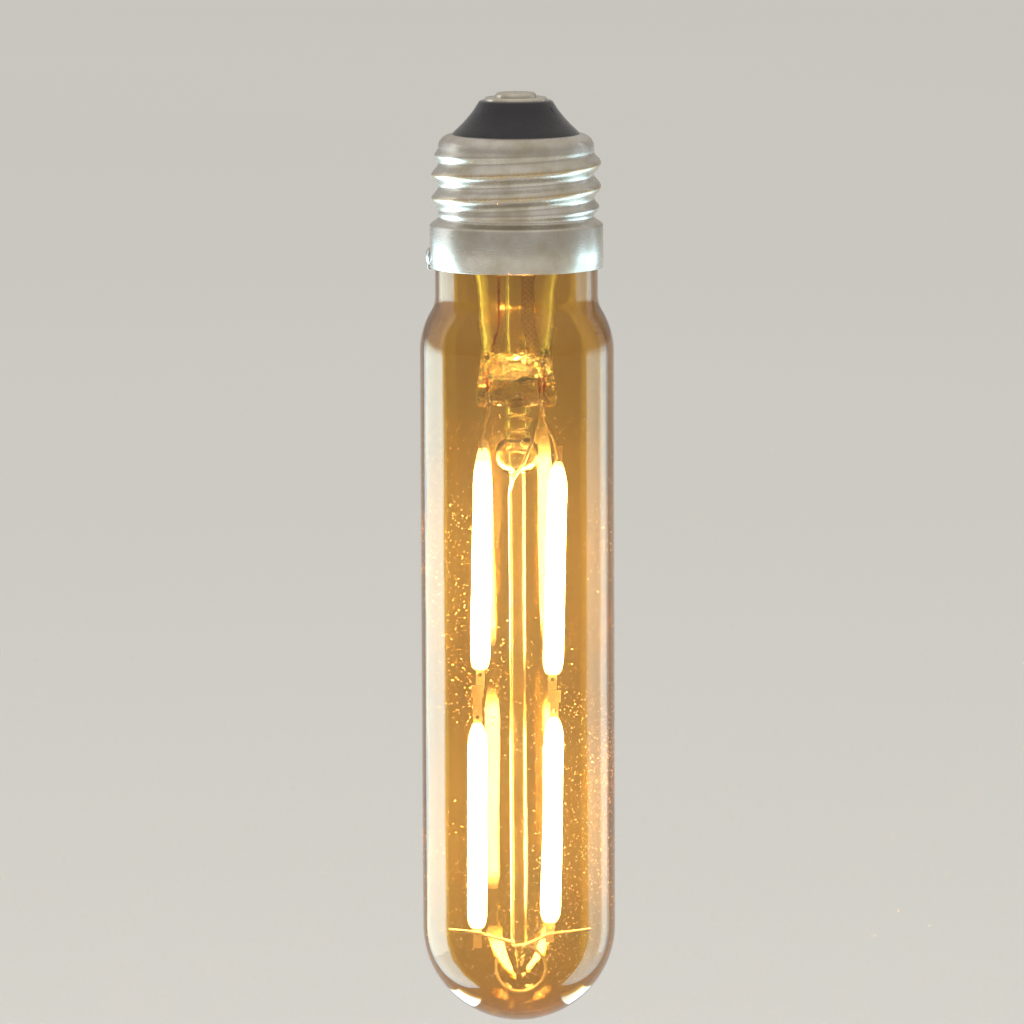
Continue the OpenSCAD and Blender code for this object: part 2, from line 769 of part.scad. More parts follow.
module cap_shell() {
    n = SHELL_SIDES;
    rows = concat(reversed(shell_rows(0)), shell_rows(cap_wall));
    points = [for (row = rows) for (k = [0:n - 1])
        let (a = 360*k/n, wave = (1 + cos(360*row[0]/thread_pitch - a))/2)
        let (r = row[1] + thread_depth*row[2]*wave)
        [r*cos(a), r*sin(a), row[0]]];
    count = len(rows);
    walls = [for (i = [0:count - 1]) for (k = [0:n - 1]) each wall_pair(i*n, ((i + 1)%count)*n, k, n)];
    color("gainsboro")
        polyhedron(points, walls, convexity = 8);
}

// Black glass that holds the contact plate in the shell's crown
wire_slot_r = shank_d/2 + lead_d + 2*fit;
module cap_insulator() {
    hole_r = shell_hole_d/2;
    edge_r = hole_r - fit;
    in = cap_wall + fit;
    color([0.06, 0.06, 0.07])
        rotate_extrude()
            polygon(concat(
                [[wire_slot_r, plate_z], [plate_d/2 + 0.4, plate_z], [plate_d/2 + 1, plate_z - 0.5]],
                [[hole_r - 0.3, shell_top_z + 0.4], [edge_r, shell_top_z]],
                [for (a = [90:-18:0])
                    [edge_r + (root_r - hole_r - in)*cos(a), thread_top_z + (crown_h - in)*sin(a)]],
                [[root_r - in - fit, insulator_bot_z], [wire_slot_r + 1.5, insulator_bot_z]],
                [[wire_slot_r, insulator_bot_z + 1]]
            ));
}

module contact_plate() {
    color("lightgray")
        rotate_extrude()
            polygon([
                [shank_d/2 + fit, plate_z],
                [plate_d/2, plate_z],
                [plate_d/2, plate_z + plate_t/2],
                [plate_d/2 - plate_t/2, plate_z + plate_t],
                [shank_d/2 + fit, plate_z + plate_t]
            ]);
}

module contact_rivet() {
    color("silver")
        union() {
            rotate_extrude()
                polygon(concat(
                    [[0, -rivet_h], [rivet_d/2, -rivet_h]],
                    arc([rivet_d/2 - rivet_h*0.8, -rivet_h], rivet_h*0.8, rivet_h, 15, 90, 5),
                    [[0, 0]]
                ));
            translate([0, 0, -rivet_h - shank_len])
                cylinder(h = shank_len + EPS, d = shank_d);
        }
}

// Ring of cement, a little above the skirt's edge, with a slot for the side wire. The
// skirt has flat sides, so the ring keeps off it by more than the usual gap.
module cap_cement() {
    low = 0.5;
    shell_gap = 0.08;
    slot_w = 0.6;
    color("wheat")
        difference() {
            translate([0, 0, skirt_z + low])
                cylinder(h = neck_in - low, r = skirt_in_r - shell_gap);
            translate([0, 0, skirt_z])
                cylinder(h = neck_in + 1, r = neck_d/2 + fit/2);
            translate([-skirt_r - 1, -slot_w/2, skirt_z])
                cube([2, slot_w, neck_in + 1]);
        }
}

// Wire from the board out between neck and skirt, folded up over the skirt's edge.
// The fold lies under the edge and its end stands up beside the skirt.
side_d = 0.3;
side_hole = [-board_d/2 + 1.4, 0];
slot_r = (neck_d/2 + skirt_in_r)/2;
fold_z = skirt_z - side_d/2 - 0.1;
fold_up = 1.6;
module side_wire() {
    outer = skirt_r + side_d/2 + fit;
    inner = root_r - cap_wall - 0.7;
    color("lightgray")
        wire(rounded([
            [side_hole[0], 0, board_top_z],
            [side_hole[0], 0, board_bot_z - 0.8],
            [-inner, 0, thread_end_z + 1.2],
            [-inner - 0.35, 0, thread_end_z - 0.2],
            [-slot_r + 0.05, 0, rim_z + 0.22],
            [-slot_r, 0, rim_z - 0.4],
            [-slot_r, 0, fold_z],
            [-outer, 0, fold_z],
            [-outer, 0, skirt_z + fold_up]
        ], 0.25), side_d);
}

// Dome of solder over the wire's end, hollowed to fit the skirt and the wire
module side_solder() {
    solder_r = 1.5;
    solder_h = 0.85;
    color("lightgray")
        difference() {
            translate([-skirt_r + 0.2, 0, skirt_z + fold_up + 0.1])
                rotate([0, -90, 0])
                    rotate_extrude()
                        polygon(concat(
                            [[0, 0], [solder_r, 0]],
                            arc([0, 0], solder_r, solder_h, 15, 90, 5)
                        ));
            translate([0, 0, skirt_z - 1])
                cylinder(h = skirt_h, r = skirt_r, $fn = 120);
            translate([-skirt_r - side_d/2 - fit, 0, skirt_z - 1])
                cylinder(h = 1 + fold_up + 0.05, d = side_d + 2*fit);
        }
}

// Wire from the board up beside the rivet's shank
centre_hole = [0.09*board_d, -0.06*board_d];
module centre_wire() {
    up = shank_d/2 + lead_d/2 + fit;
    color("peru")
        wire(rounded([
            [centre_hole[0], centre_hole[1], board_bot_z],
            [centre_hole[0], centre_hole[1], board_top_z + 0.9],
            [up, 0, insulator_bot_z],
            [up, 0, plate_z - fit]
        ], 0.6), lead_d);
}

module driver_board() {
    holes = concat(board_holes, [side_hole, centre_hole]);
    color("seagreen")
        difference() {
            translate([0, 0, board_bot_z])
                cylinder(h = board_t, d = board_d);
            for (p = holes)
                translate([p[0], p[1], board_bot_z - 1])
                    cylinder(h = board_t + 2, d = lead_d + 2*fit);
        }
}

// Small cones of solder over the wires' ends, on both sides of the board
module solder_cone(p, z, side) {
    solder_h = 0.45;
    foot_d = 1.5;
    top_d = 0.5;
    translate([p[0], p[1], z])
        rotate([side > 0 ? 0 : 180, 0, 0])
            cylinder(h = solder_h, d1 = foot_d, d2 = top_d);
}

module board_solder() {
    lift = fit/3;
    color("silver") {
        for (p = concat(board_holes, [side_hole]))
            solder_cone(p, board_top_z + lift, 1);
        solder_cone(centre_hole, board_bot_z - lift, -1);
    }
}

rectifier_at = board_d*[-0.205, -0.205];
module rectifier() {
    leg = 0.7;
    leg_h = 0.5;
    lift = 0.1;
    color("dimgray")
        translate([rectifier_at[0], rectifier_at[1], board_top_z]) {
            translate([-rectifier_w/2, -rectifier_w/2, lift])
                cube([rectifier_w, rectifier_w, rectifier_h - lift]);
            for (x = [-1, 1])
                for (y = [-1, 1])
                    translate([x*(rectifier_w + leg)/2 - leg/2, y*rectifier_w/4 - leg/2, 0])
                        cube([leg, leg, leg_h]);
        }
}

chip_at = board_d*[0.295, -0.017];
module driver_chip() {
    pins = 4;
    pin_pitch = 1.27;
    pin = [0.6, 0.4, 0.5];
    lift = 0.1;
    color("dimgray")
        translate([chip_at[0], chip_at[1], board_top_z]) {
            translate([-ic_w/2, -ic_len/2, lift])
                cube([ic_w, ic_len, ic_h - lift]);
            for (x = [-1, 1])
                for (k = [0:pins - 1])
                    translate([x*(ic_w/2 + 0.25), (k - (pins - 1)/2)*pin_pitch, pin[2]/2])
                        cube(pin, center = true);
        }
}

// The can hangs under the board, behind the tip of the exhaust tube
can_at = [-0.4, exhaust_d/2 + can_d/2 + 0.6];
module capacitor() {
    groove = 0.25;
    r = can_d/2;
    color("darkslategray")
        translate([can_at[0], can_at[1], board_bot_z - can_h])
            rotate_extrude()
                polygon([
                    [0, 0], [r - 0.4, 0], [r, 0.4],
                    [r, can_h - 1.6], [r - groove, can_h - 1.3],
                    [r, can_h - 1], [r, can_h], [0, can_h]
                ]);
}

fuse_y = 0.32*board_d;
module fuse_resistor() {
    axis_z = board_top_z + fuse_lift + fuse_d/2;
    lead_out = 0.9;
    reach = fuse_len/2 + lead_out;
    color("lightsteelblue")
        union() {
            translate([-fuse_len/2, fuse_y, axis_z])
                rotate([0, 90, 0])
                    cylinder(h = fuse_len, d = fuse_d);
            translate([-reach, fuse_y, axis_z])
                rotate([0, 90, 0])
                    cylinder(h = 2*reach, d = lead_d);
            for (x = [-reach, reach]) {
                translate([x, fuse_y, board_top_z])
                    cylinder(h = axis_z - board_top_z, d = lead_d);
                translate([x, fuse_y, axis_z])
                    sphere(d = lead_d);
            }
        }
}

module chip_resistors() {
    color("black")
        for (p = board_d*[[-0.32, 0.165], [-0.125, 0.125], [0.045, -0.35]])
            translate([p[0], p[1], board_top_z + resistor_h/2])
                cube([resistor_len, 0.6*resistor_len, resistor_h], center = true);
}

glass_envelope();
stem_flare();
exhaust_tube();
post_tube();
post_ball();
post_rod();
outer_lead_left();
outer_lead_right();
outer_lead_return();
lead_sleeve();
seal_wire(LEFT);  // seal_wire_left
seal_wire(RIGHT);  // seal_wire_right
seal_wire(RETURN);  // seal_wire_return
inner_lead_left();
inner_lead_right();
return_wire();
support_wire_left();
support_wire_right();
wire_loop();
for (i = [0:3]) {
    strip(i);
    chips(i);
    phosphor(i);
    tabs(i);
}
cap_shell();
cap_insulator();
contact_plate();
contact_rivet();
cap_cement();
side_wire();
side_solder();
centre_wire();
driver_board();
rectifier();
driver_chip();
capacitor();
fuse_resistor();
chip_resistors();
board_solder();
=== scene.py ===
import math

import bmesh
import bpy
from mathutils import Matrix, Vector, noise

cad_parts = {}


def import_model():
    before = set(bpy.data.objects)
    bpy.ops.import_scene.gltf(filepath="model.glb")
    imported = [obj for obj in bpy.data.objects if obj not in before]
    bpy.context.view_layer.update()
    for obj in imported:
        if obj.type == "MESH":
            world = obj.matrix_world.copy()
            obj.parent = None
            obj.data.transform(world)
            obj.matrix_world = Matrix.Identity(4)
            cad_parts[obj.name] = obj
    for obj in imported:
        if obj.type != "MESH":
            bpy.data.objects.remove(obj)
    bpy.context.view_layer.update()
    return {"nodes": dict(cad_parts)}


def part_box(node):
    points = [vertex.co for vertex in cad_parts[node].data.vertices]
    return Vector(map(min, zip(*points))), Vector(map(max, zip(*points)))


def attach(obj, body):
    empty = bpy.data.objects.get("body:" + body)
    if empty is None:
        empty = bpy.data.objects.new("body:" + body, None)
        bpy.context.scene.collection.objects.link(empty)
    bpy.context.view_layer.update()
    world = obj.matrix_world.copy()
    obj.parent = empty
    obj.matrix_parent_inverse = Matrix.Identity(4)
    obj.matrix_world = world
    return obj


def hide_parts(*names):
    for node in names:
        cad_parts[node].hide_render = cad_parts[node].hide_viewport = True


# Tubular LED filament lamp, lit, hanging cap up over a pale floor.
# Sizes are in millimetres in the part's own frame: the origin is the middle of the centre
# contact, +Z is up and the lamp lies below it. MM turns them to metres as a mesh is made.
MM = 0.001

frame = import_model()

# The camera stands in front of the lamp and looks down on it a little. The picture is
# taken to be 1024 pixels wide.
PICTURE = 1024
PIXELS_PER_MM = 6.45
AXIS_PIXEL = 517.5
APEX_PIXEL = 1023.5
VIEW_DISTANCE = 1100
VIEW_DOWN = math.radians(7.5)
VIEW_ROLL = math.radians(0.24)


# Places that the frame gives

def low(node):
    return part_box(node)[0] / MM


def high(node):
    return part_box(node)[1] / MM


def middle(node):
    return (low(node) + high(node)) / 2


TUBE_R = high("glass_envelope").x
APEX_Z = low("glass_envelope").z
NECK_TOP_Z = high("glass_envelope").z
NECK_R = high("stem_flare").x
RIM_Z = high("stem_flare").z
PRESS_Z = low("stem_flare").z
SKIRT_Z = low("cap_shell").z
SKIRT_R = high("cap_shell").x
SHELL_TOP_Z = high("cap_shell").z
DOME_Z = APEX_Z + TUBE_R

# Glass
GLASS_WALL = 1
NECK_LEN = 4.3
SHOULDER_R = 12
HOLLOW_R = 5
STEM_R = 6.1
STEM_WALL = 0.9
FLARE_LEN = 12.3
WAIST_R = 5.5
PRESS_H = 7.2
PRESS_W = 12.4
PRESS_T = 3.6
FIT = 0.03
STEM_SIDES = 128
FOLD_SEED = 4
POST_DOME = 1.3
BALL_WALL = 0.5
# The straight length of the rod ends above its drawn tip
ROD_END_Z = low("post_rod").z + 2.75

# Filaments, with the lean of each in degrees
LEANS = {"upper_left": 1, "upper_right": 1.8, "lower_left": 0.3, "lower_right": 1.3}
JACKET_LEN = 32.4
JACKET_R = 1.5
# Silicone that crept up the tab of each filament
CREEP = {"upper_left": 2.2, "upper_right": 0.8, "lower_left": 0, "lower_right": 0}
TAB_T = 0.3
TAB_LEN = 3.3
CHIPS = 28
# Strength of the light along a filament and at its ends. It fades from DARK_START before
# the end of the jacket's main length to DARK_STOP past it.
FILAMENT_GLOW = 240
FILAMENT_END_GLOW = 7.5
DARK_START = 3.4
DARK_STOP = 0.6

WIRE_R = 0.25

# Cap
THREAD_R = 13.1
THREAD_DEPTH = 1.05
THREAD_PITCH = 3.629
THREAD_RUN_OUT = 2
CAP_WALL = 0.3
SKIRT_H = 7.8
CROWN_H = 2
SHELL_HOLE_R = 9.9
CROWN_FOOT_Z = SHELL_TOP_Z - CROWN_H
THREAD_END_Z = SKIRT_Z + SKIRT_H
THREAD_ROOT_R = THREAD_R - THREAD_DEPTH
# The rivet in the middle of the contact
SHANK_R = 1.1


# Colours and nodes

# The sockets of a node that mixes colours: its two inputs and its output
FIRST, OTHER, MIXED = 6, 7, 2


def linear(code):
    """An sRGB hex colour as the linear colour that Blender takes."""
    def channel(start):
        value = int(code[start:start + 2], 16) / 255
        return value / 12.92 if value <= 0.04045 else ((value + 0.055) / 1.055) ** 2.4
    return (channel(1), channel(3), channel(5), 1)


def add(tree, kind, links=None, **settings):
    """Adds a node. settings are its properties, and links are its inputs by name or
    number, each a value or another node's output."""
    node = tree.nodes.new(kind)
    for key, value in settings.items():
        setattr(node, key, value)
    for key, value in (links or {}).items():
        if isinstance(value, bpy.types.NodeSocket):
            tree.links.new(value, node.inputs[key])
        else:
            node.inputs[key].default_value = value
    return node


def new_finish(name, **sockets):
    """A material with one Principled shader, and its sockets set by name."""
    material = bpy.data.materials.new(name)
    material.use_nodes = True
    tree = material.node_tree
    shader = tree.nodes["Principled BSDF"]
    for key, value in sockets.items():
        shader.inputs[key.replace("_", " ")].default_value = value
    return material, tree, shader


def drive(tree, shader, **outputs):
    """Links outputs to the shader's inputs by name."""
    for key, value in outputs.items():
        tree.links.new(value, shader.inputs[key.replace("_", " ")])


def blotches(size):
    """Scale of a noise whose blotches are about size millimetres across."""
    return 1 / (size * MM)


def bands(period):
    """Scale of a wave whose bands are period millimetres apart. A wave texture turns 20
    radians a unit."""
    return math.pi / 10 / (period * MM)


# Finishes. Each starts from what the real material is.

def amber_tube_glass():
    """Soda-lime glass tube stained amber all through: clear, smooth and golden, and deep
    brown gold at the edges, where the eye looks along the wall. Drawn tube has faint long
    streaks."""
    material, tree, shader = new_finish(
        "amber stained soda-lime glass", Base_Color=linear("#F8EFD8"), Roughness=0.0, IOR=1.52,
        Transmission_Weight=0.992)
    where = add(tree, "ShaderNodeTexCoord").outputs["Object"]
    drawn = add(tree, "ShaderNodeMapping", {"Vector": where, "Scale": (1, 1, 0.04)})
    streaks = add(tree, "ShaderNodeTexNoise", {
        "Vector": drawn.outputs[0], "Scale": blotches(1.8), "Detail": 2})
    raised = add(tree, "ShaderNodeBump", {"Height": streaks.outputs["Fac"], "Distance": 0.012 * MM})
    drive(tree, shader, Normal=raised.outputs[0])
    stain = add(tree, "ShaderNodeVolumeAbsorption", {"Color": linear("#EAD349"), "Density": 1600})
    tree.links.new(stain.outputs[0], tree.nodes["Material Output"].inputs["Volume"])
    return material


def flame_worked_glass(name, tint, ripple, roughness=0.0):
    """Lead glass softened in a flame: clear, bright and a little heavier than the bulb's,
    with soft ripples and no hard edge. Cane keeps the fine lines of its drawing, which
    spread the light."""
    material, tree, shader = new_finish(
        name, Base_Color=linear(tint), Roughness=roughness, IOR=1.56, Transmission_Weight=1.0)
    where = add(tree, "ShaderNodeTexCoord").outputs["Object"]
    sunk = add(tree, "ShaderNodeMapping", {"Vector": where, "Scale": (1, 1, 0.5)})
    ripples = add(tree, "ShaderNodeTexNoise", {
        "Vector": sunk.outputs[0], "Scale": blotches(1.4), "Detail": 2})
    raised = add(tree, "ShaderNodeBump", {
        "Height": ripples.outputs["Fac"], "Distance": ripple * MM})
    drive(tree, shader, Normal=raised.outputs[0])
    body = add(tree, "ShaderNodeVolumeAbsorption", {"Color": linear("#E8E2C8"), "Density": 60})
    tree.links.new(body.outputs[0], tree.nodes["Material Output"].inputs["Volume"])
    return material


def drawn_wire(name, colour, dull, roughness, metallic=1.0):
    """Drawn metal wire: bright along its length, with dull patches left by the heat. Wire
    that was annealed has a thin matt oxide, so it is a little less metallic."""
    material, tree, shader = new_finish(name, Metallic=metallic)
    where = add(tree, "ShaderNodeTexCoord").outputs["Object"]
    patches = add(tree, "ShaderNodeTexNoise", {"Vector": where, "Scale": blotches(0.9)})
    heat = add(tree, "ShaderNodeMapRange", {
        "Value": patches.outputs["Fac"], "From Min": 0.4, "From Max": 0.7})
    tint = add(tree, "ShaderNodeMix", {
        "Factor": heat.outputs[0], FIRST: linear(colour), OTHER: linear(dull)}, data_type="RGBA")
    gloss = add(tree, "ShaderNodeMapRange", {
        "Value": patches.outputs["Fac"], "From Min": 0.35, "From Max": 0.7,
        "To Min": roughness, "To Max": roughness + 0.18})
    drive(tree, shader, Base_Color=tint.outputs[MIXED], Roughness=gloss.outputs[0])
    return material


def dumet_wire():
    """Copper-clad seal wire under its glassy red skin of copper oxide."""
    material, tree, shader = new_finish(
        "oxidised dumet wire", Roughness=0.28, Coat_Weight=0.6, Coat_Roughness=0.1)
    where = add(tree, "ShaderNodeTexCoord").outputs["Object"]
    patches = add(tree, "ShaderNodeTexNoise", {"Vector": where, "Scale": blotches(0.7)})
    tint = add(tree, "ShaderNodeMix", {
        "Factor": patches.outputs["Fac"], FIRST: linear("#F28468"), OTHER: linear("#D2523C")},
        data_type="RGBA")
    drive(tree, shader, Base_Color=tint.outputs[MIXED])
    return material


def glass_fibre_sleeve():
    """Braided glass-fibre sleeve, varnished: threads that cross on the slant, straw yellow
    and darker between. They lie 0.3 mm apart and are drawn at 0.6 mm so that they show."""
    material, tree, shader = new_finish("varnished glass-fibre sleeve", Roughness=0.55)
    where = add(tree, "ShaderNodeTexCoord").outputs["Object"]
    threads = []
    for slant in (0.8, -0.8):
        turned = add(tree, "ShaderNodeMapping", {"Vector": where, "Rotation": (0, slant, 0)})
        threads.append(add(tree, "ShaderNodeTexWave", {
            "Vector": turned.outputs[0], "Scale": bands(0.6)}))
    weave = add(tree, "ShaderNodeMath", {
        0: threads[0].outputs["Fac"], 1: threads[1].outputs["Fac"]}, operation="MAXIMUM")
    tint = add(tree, "ShaderNodeMix", {
        "Factor": weave.outputs[0], FIRST: linear("#EAD398"), OTHER: linear("#FFFAE6")},
        data_type="RGBA")
    raised = add(tree, "ShaderNodeBump", {"Height": weave.outputs[0], "Distance": 0.08 * MM})
    drive(tree, shader, Base_Color=tint.outputs[MIXED], Normal=raised.outputs[0])
    return material


def lit_phosphor():
    """Silicone filled with yellow phosphor over lit chips: white hot along the jacket, a
    little stronger over each chip, and cream over the last millimetres, which hold no chip."""
    material, tree, shader = new_finish(
        "lit phosphor silicone", Base_Color=linear("#F3CF7E"), Roughness=0.45)
    along = add(tree, "ShaderNodeUVMap", uv_map="along")
    share = add(tree, "ShaderNodeSeparateXYZ", {"Vector": along.outputs["UV"]})
    from_middle = add(tree, "ShaderNodeMath", {0: share.outputs["Y"], 1: 0.5}, operation="SUBTRACT")
    distance = add(tree, "ShaderNodeMath", {0: from_middle.outputs[0]}, operation="ABSOLUTE")
    dark = add(tree, "ShaderNodeMapRange", {
        "Value": distance.outputs[0], "From Min": 0.5 - DARK_START / JACKET_LEN,
        "From Max": 0.5 + DARK_STOP / JACKET_LEN})
    tint = add(tree, "ShaderNodeMix", {
        "Factor": dark.outputs[0], FIRST: linear("#FFE9CB"), OTHER: linear("#FFEFD6")},
        data_type="RGBA")
    chips = add(tree, "ShaderNodeMath", {
        0: share.outputs["Y"], 1: 2 * math.pi * CHIPS}, operation="MULTIPLY")
    pulse = add(tree, "ShaderNodeMath", {0: chips.outputs[0]}, operation="COSINE")
    # The light falls by an equal share with each step along the dark end
    fade = add(tree, "ShaderNodeMath", {
        0: FILAMENT_END_GLOW / FILAMENT_GLOW, 1: dark.outputs[0]}, operation="POWER")
    # It pulses a little over the chips
    ripple = 0.06
    uneven = add(tree, "ShaderNodeMath", {
        0: pulse.outputs[0], 1: ripple * FILAMENT_GLOW, 2: (1 - ripple) * FILAMENT_GLOW},
        operation="MULTIPLY_ADD")
    glow = add(tree, "ShaderNodeMath", {
        0: fade.outputs[0], 1: uneven.outputs[0]}, operation="MULTIPLY")
    drive(tree, shader, Emission_Color=tint.outputs[MIXED], Emission_Strength=glow.outputs[0])
    return material


def rolled_nickel_brass():
    """Brass sheet, nickel plated and rolled to a thread: bright, faintly warm metal with
    fine lines round the cap, cloudy patches, and brass that shows through on the crests."""
    material, tree, shader = new_finish("nickel plated brass sheet", Metallic=1.0)
    where = add(tree, "ShaderNodeTexCoord").outputs["Object"]
    cloud = add(tree, "ShaderNodeTexNoise", {
        "Vector": where, "Scale": blotches(5), "Detail": 5, "Roughness": 0.6})
    rolled = add(tree, "ShaderNodeMapping", {"Vector": where, "Scale": (0.05, 0.05, 1)})
    lines = add(tree, "ShaderNodeTexNoise", {
        "Vector": rolled.outputs[0], "Scale": blotches(0.16), "Detail": 2})
    scuffs = add(tree, "ShaderNodeTexNoise", {
        "Vector": where, "Scale": blotches(0.5), "Detail": 6, "Roughness": 0.7, "Distortion": 1.5})
    tarnish = add(tree, "ShaderNodeMapRange", {
        "Value": cloud.outputs["Fac"], "From Min": 0.35, "From Max": 0.7})
    plated = add(tree, "ShaderNodeMix", {
        "Factor": tarnish.outputs[0], FIRST: linear("#D0CBC2"), OTHER: linear("#B3A997")},
        data_type="RGBA")
    # Use rubs the crests of the thread, and nothing rubs the skirt
    flat = add(tree, "ShaderNodeVectorMath", {0: where, 1: (1, 1, 0)}, operation="MULTIPLY")
    radius = add(tree, "ShaderNodeVectorMath", {0: flat.outputs[0]}, operation="LENGTH")
    crest = add(tree, "ShaderNodeMapRange", {
        "Value": radius.outputs["Value"],
        "From Min": (THREAD_R - 0.2) * MM, "From Max": THREAD_R * MM})
    height = add(tree, "ShaderNodeSeparateXYZ", {"Vector": where})
    thread = add(tree, "ShaderNodeMath", {
        0: height.outputs["Z"], 1: THREAD_END_Z * MM}, operation="GREATER_THAN")
    rub = add(tree, "ShaderNodeMath", {
        0: crest.outputs[0], 1: thread.outputs[0]}, operation="MULTIPLY")
    patchy = add(tree, "ShaderNodeMapRange", {
        "Value": scuffs.outputs["Fac"], "From Min": 0.42, "From Max": 0.6})
    worn = add(tree, "ShaderNodeMath", {
        0: rub.outputs[0], 1: patchy.outputs[0]}, operation="MULTIPLY")
    tint = add(tree, "ShaderNodeMix", {
        "Factor": worn.outputs[0], FIRST: plated.outputs[MIXED], OTHER: linear("#C9A86C")},
        data_type="RGBA")
    cloudy = add(tree, "ShaderNodeMapRange", {
        "Value": cloud.outputs["Fac"], "From Min": 0.3, "From Max": 0.75,
        "To Min": 0.14, "To Max": 0.3})
    lined = add(tree, "ShaderNodeMath", {0: lines.outputs["Fac"], 1: 0.16, 2: cloudy.outputs[0]},
                operation="MULTIPLY_ADD")
    relief = add(tree, "ShaderNodeMath", {
        0: scuffs.outputs["Fac"], 1: 0.6, 2: lines.outputs["Fac"]}, operation="MULTIPLY_ADD")
    raised = add(tree, "ShaderNodeBump", {"Height": relief.outputs[0], "Distance": 0.008 * MM})
    drive(tree, shader, Base_Color=tint.outputs[MIXED], Roughness=lined.outputs[0],
          Normal=raised.outputs[0])
    return material


def pressed_nickel():
    """Nickel plated contact, pressed and then rubbed in use: bright, with one-way scratches
    and yellowish patches."""
    material, tree, shader = new_finish("pressed nickel contact", Metallic=1.0)
    where = add(tree, "ShaderNodeTexCoord").outputs["Object"]
    rubbed = add(tree, "ShaderNodeMapping", {"Vector": where, "Scale": (1, 0.12, 1)})
    scratches = add(tree, "ShaderNodeTexNoise", {
        "Vector": rubbed.outputs[0], "Scale": blotches(0.4), "Detail": 4})
    cloud = add(tree, "ShaderNodeTexNoise", {"Vector": where, "Scale": blotches(2.5)})
    tint = add(tree, "ShaderNodeMix", {
        "Factor": cloud.outputs["Fac"], FIRST: linear("#D9D5CD"), OTHER: linear("#B5A88C")},
        data_type="RGBA")
    gloss = add(tree, "ShaderNodeMapRange", {
        "Value": scratches.outputs["Fac"], "From Min": 0.35, "From Max": 0.65,
        "To Min": 0.16, "To Max": 0.38})
    raised = add(tree, "ShaderNodeBump", {
        "Height": scratches.outputs["Fac"], "Distance": 0.01 * MM})
    drive(tree, shader, Base_Color=tint.outputs[MIXED], Roughness=gloss.outputs[0],
          Normal=raised.outputs[0])
    return material


def black_cap_glass():
    """Black glass pressed hot into the cap: glossy, a little uneven, with fine pits."""
    material, tree, shader = new_finish("pressed black glass", IOR=1.52)
    where = add(tree, "ShaderNodeTexCoord").outputs["Object"]
    swell = add(tree, "ShaderNodeTexNoise", {"Vector": where, "Scale": blotches(2.2), "Detail": 2})
    grit = add(tree, "ShaderNodeTexNoise", {"Vector": where, "Scale": blotches(0.3), "Detail": 1})
    pits = add(tree, "ShaderNodeMapRange", {
        "Value": grit.outputs["Fac"], "From Min": 0.6, "From Max": 0.75})
    gloss = add(tree, "ShaderNodeMapRange", {
        "Value": pits.outputs[0], "To Min": 0.09, "To Max": 0.5})
    tint = add(tree, "ShaderNodeMix", {
        "Factor": swell.outputs["Fac"], FIRST: linear("#0F0E12"), OTHER: linear("#1E1C20")},
        data_type="RGBA")
    relief = add(tree, "ShaderNodeMath", {0: pits.outputs[0], 1: -0.5, 2: swell.outputs["Fac"]},
                 operation="MULTIPLY_ADD")
    raised = add(tree, "ShaderNodeBump", {"Height": relief.outputs[0], "Distance": 0.06 * MM})
    drive(tree, shader, Base_Color=tint.outputs[MIXED], Roughness=gloss.outputs[0],
          Normal=raised.outputs[0])
    return material


def set_solder():
    """Tin solder that froze after it flowed: silvery, softly wrinkled, duller in the hollows."""
    material, tree, shader = new_finish(
        "set tin solder", Metallic=1.0, Base_Color=linear("#C8C7C4"))
    where = add(tree, "ShaderNodeTexCoord").outputs["Object"]
    wrinkles = add(tree, "ShaderNodeTexNoise", {
        "Vector": where, "Scale": blotches(0.5), "Detail": 4})
    gloss = add(tree, "ShaderNodeMapRange", {
        "Value": wrinkles.outputs["Fac"], "From Min": 0.35, "From Max": 0.7,
        "To Min": 0.18, "To Max": 0.42})
    raised = add(tree, "ShaderNodeBump", {"Height": wrinkles.outputs["Fac"], "Distance": 0.05 * MM})
    drive(tree, shader, Roughness=gloss.outputs[0], Normal=raised.outputs[0])
    return material


def basing_cement():
    """Baked resin cement filled with marble flour: matt cream with fine grit."""
    material, tree, shader = new_finish("baked basing cement", Roughness=0.85)
    where = add(tree, "ShaderNodeTexCoord").outputs["Object"]
    grit = add(tree, "ShaderNodeTexNoise", {"Vector": where, "Scale": blotches(0.25), "Detail": 4})
    tint = add(tree, "ShaderNodeMix", {
        "Factor": grit.outputs["Fac"], FIRST: linear("#C2B28C"), OTHER: linear("#EDE4CC")},
        data_type="RGBA")
    raised = add(tree, "ShaderNodeBump", {"Height": grit.outputs["Fac"], "Distance": 0.08 * MM})
    drive(tree, shader, Base_Color=tint.outputs[MIXED], Normal=raised.outputs[0])
    return material


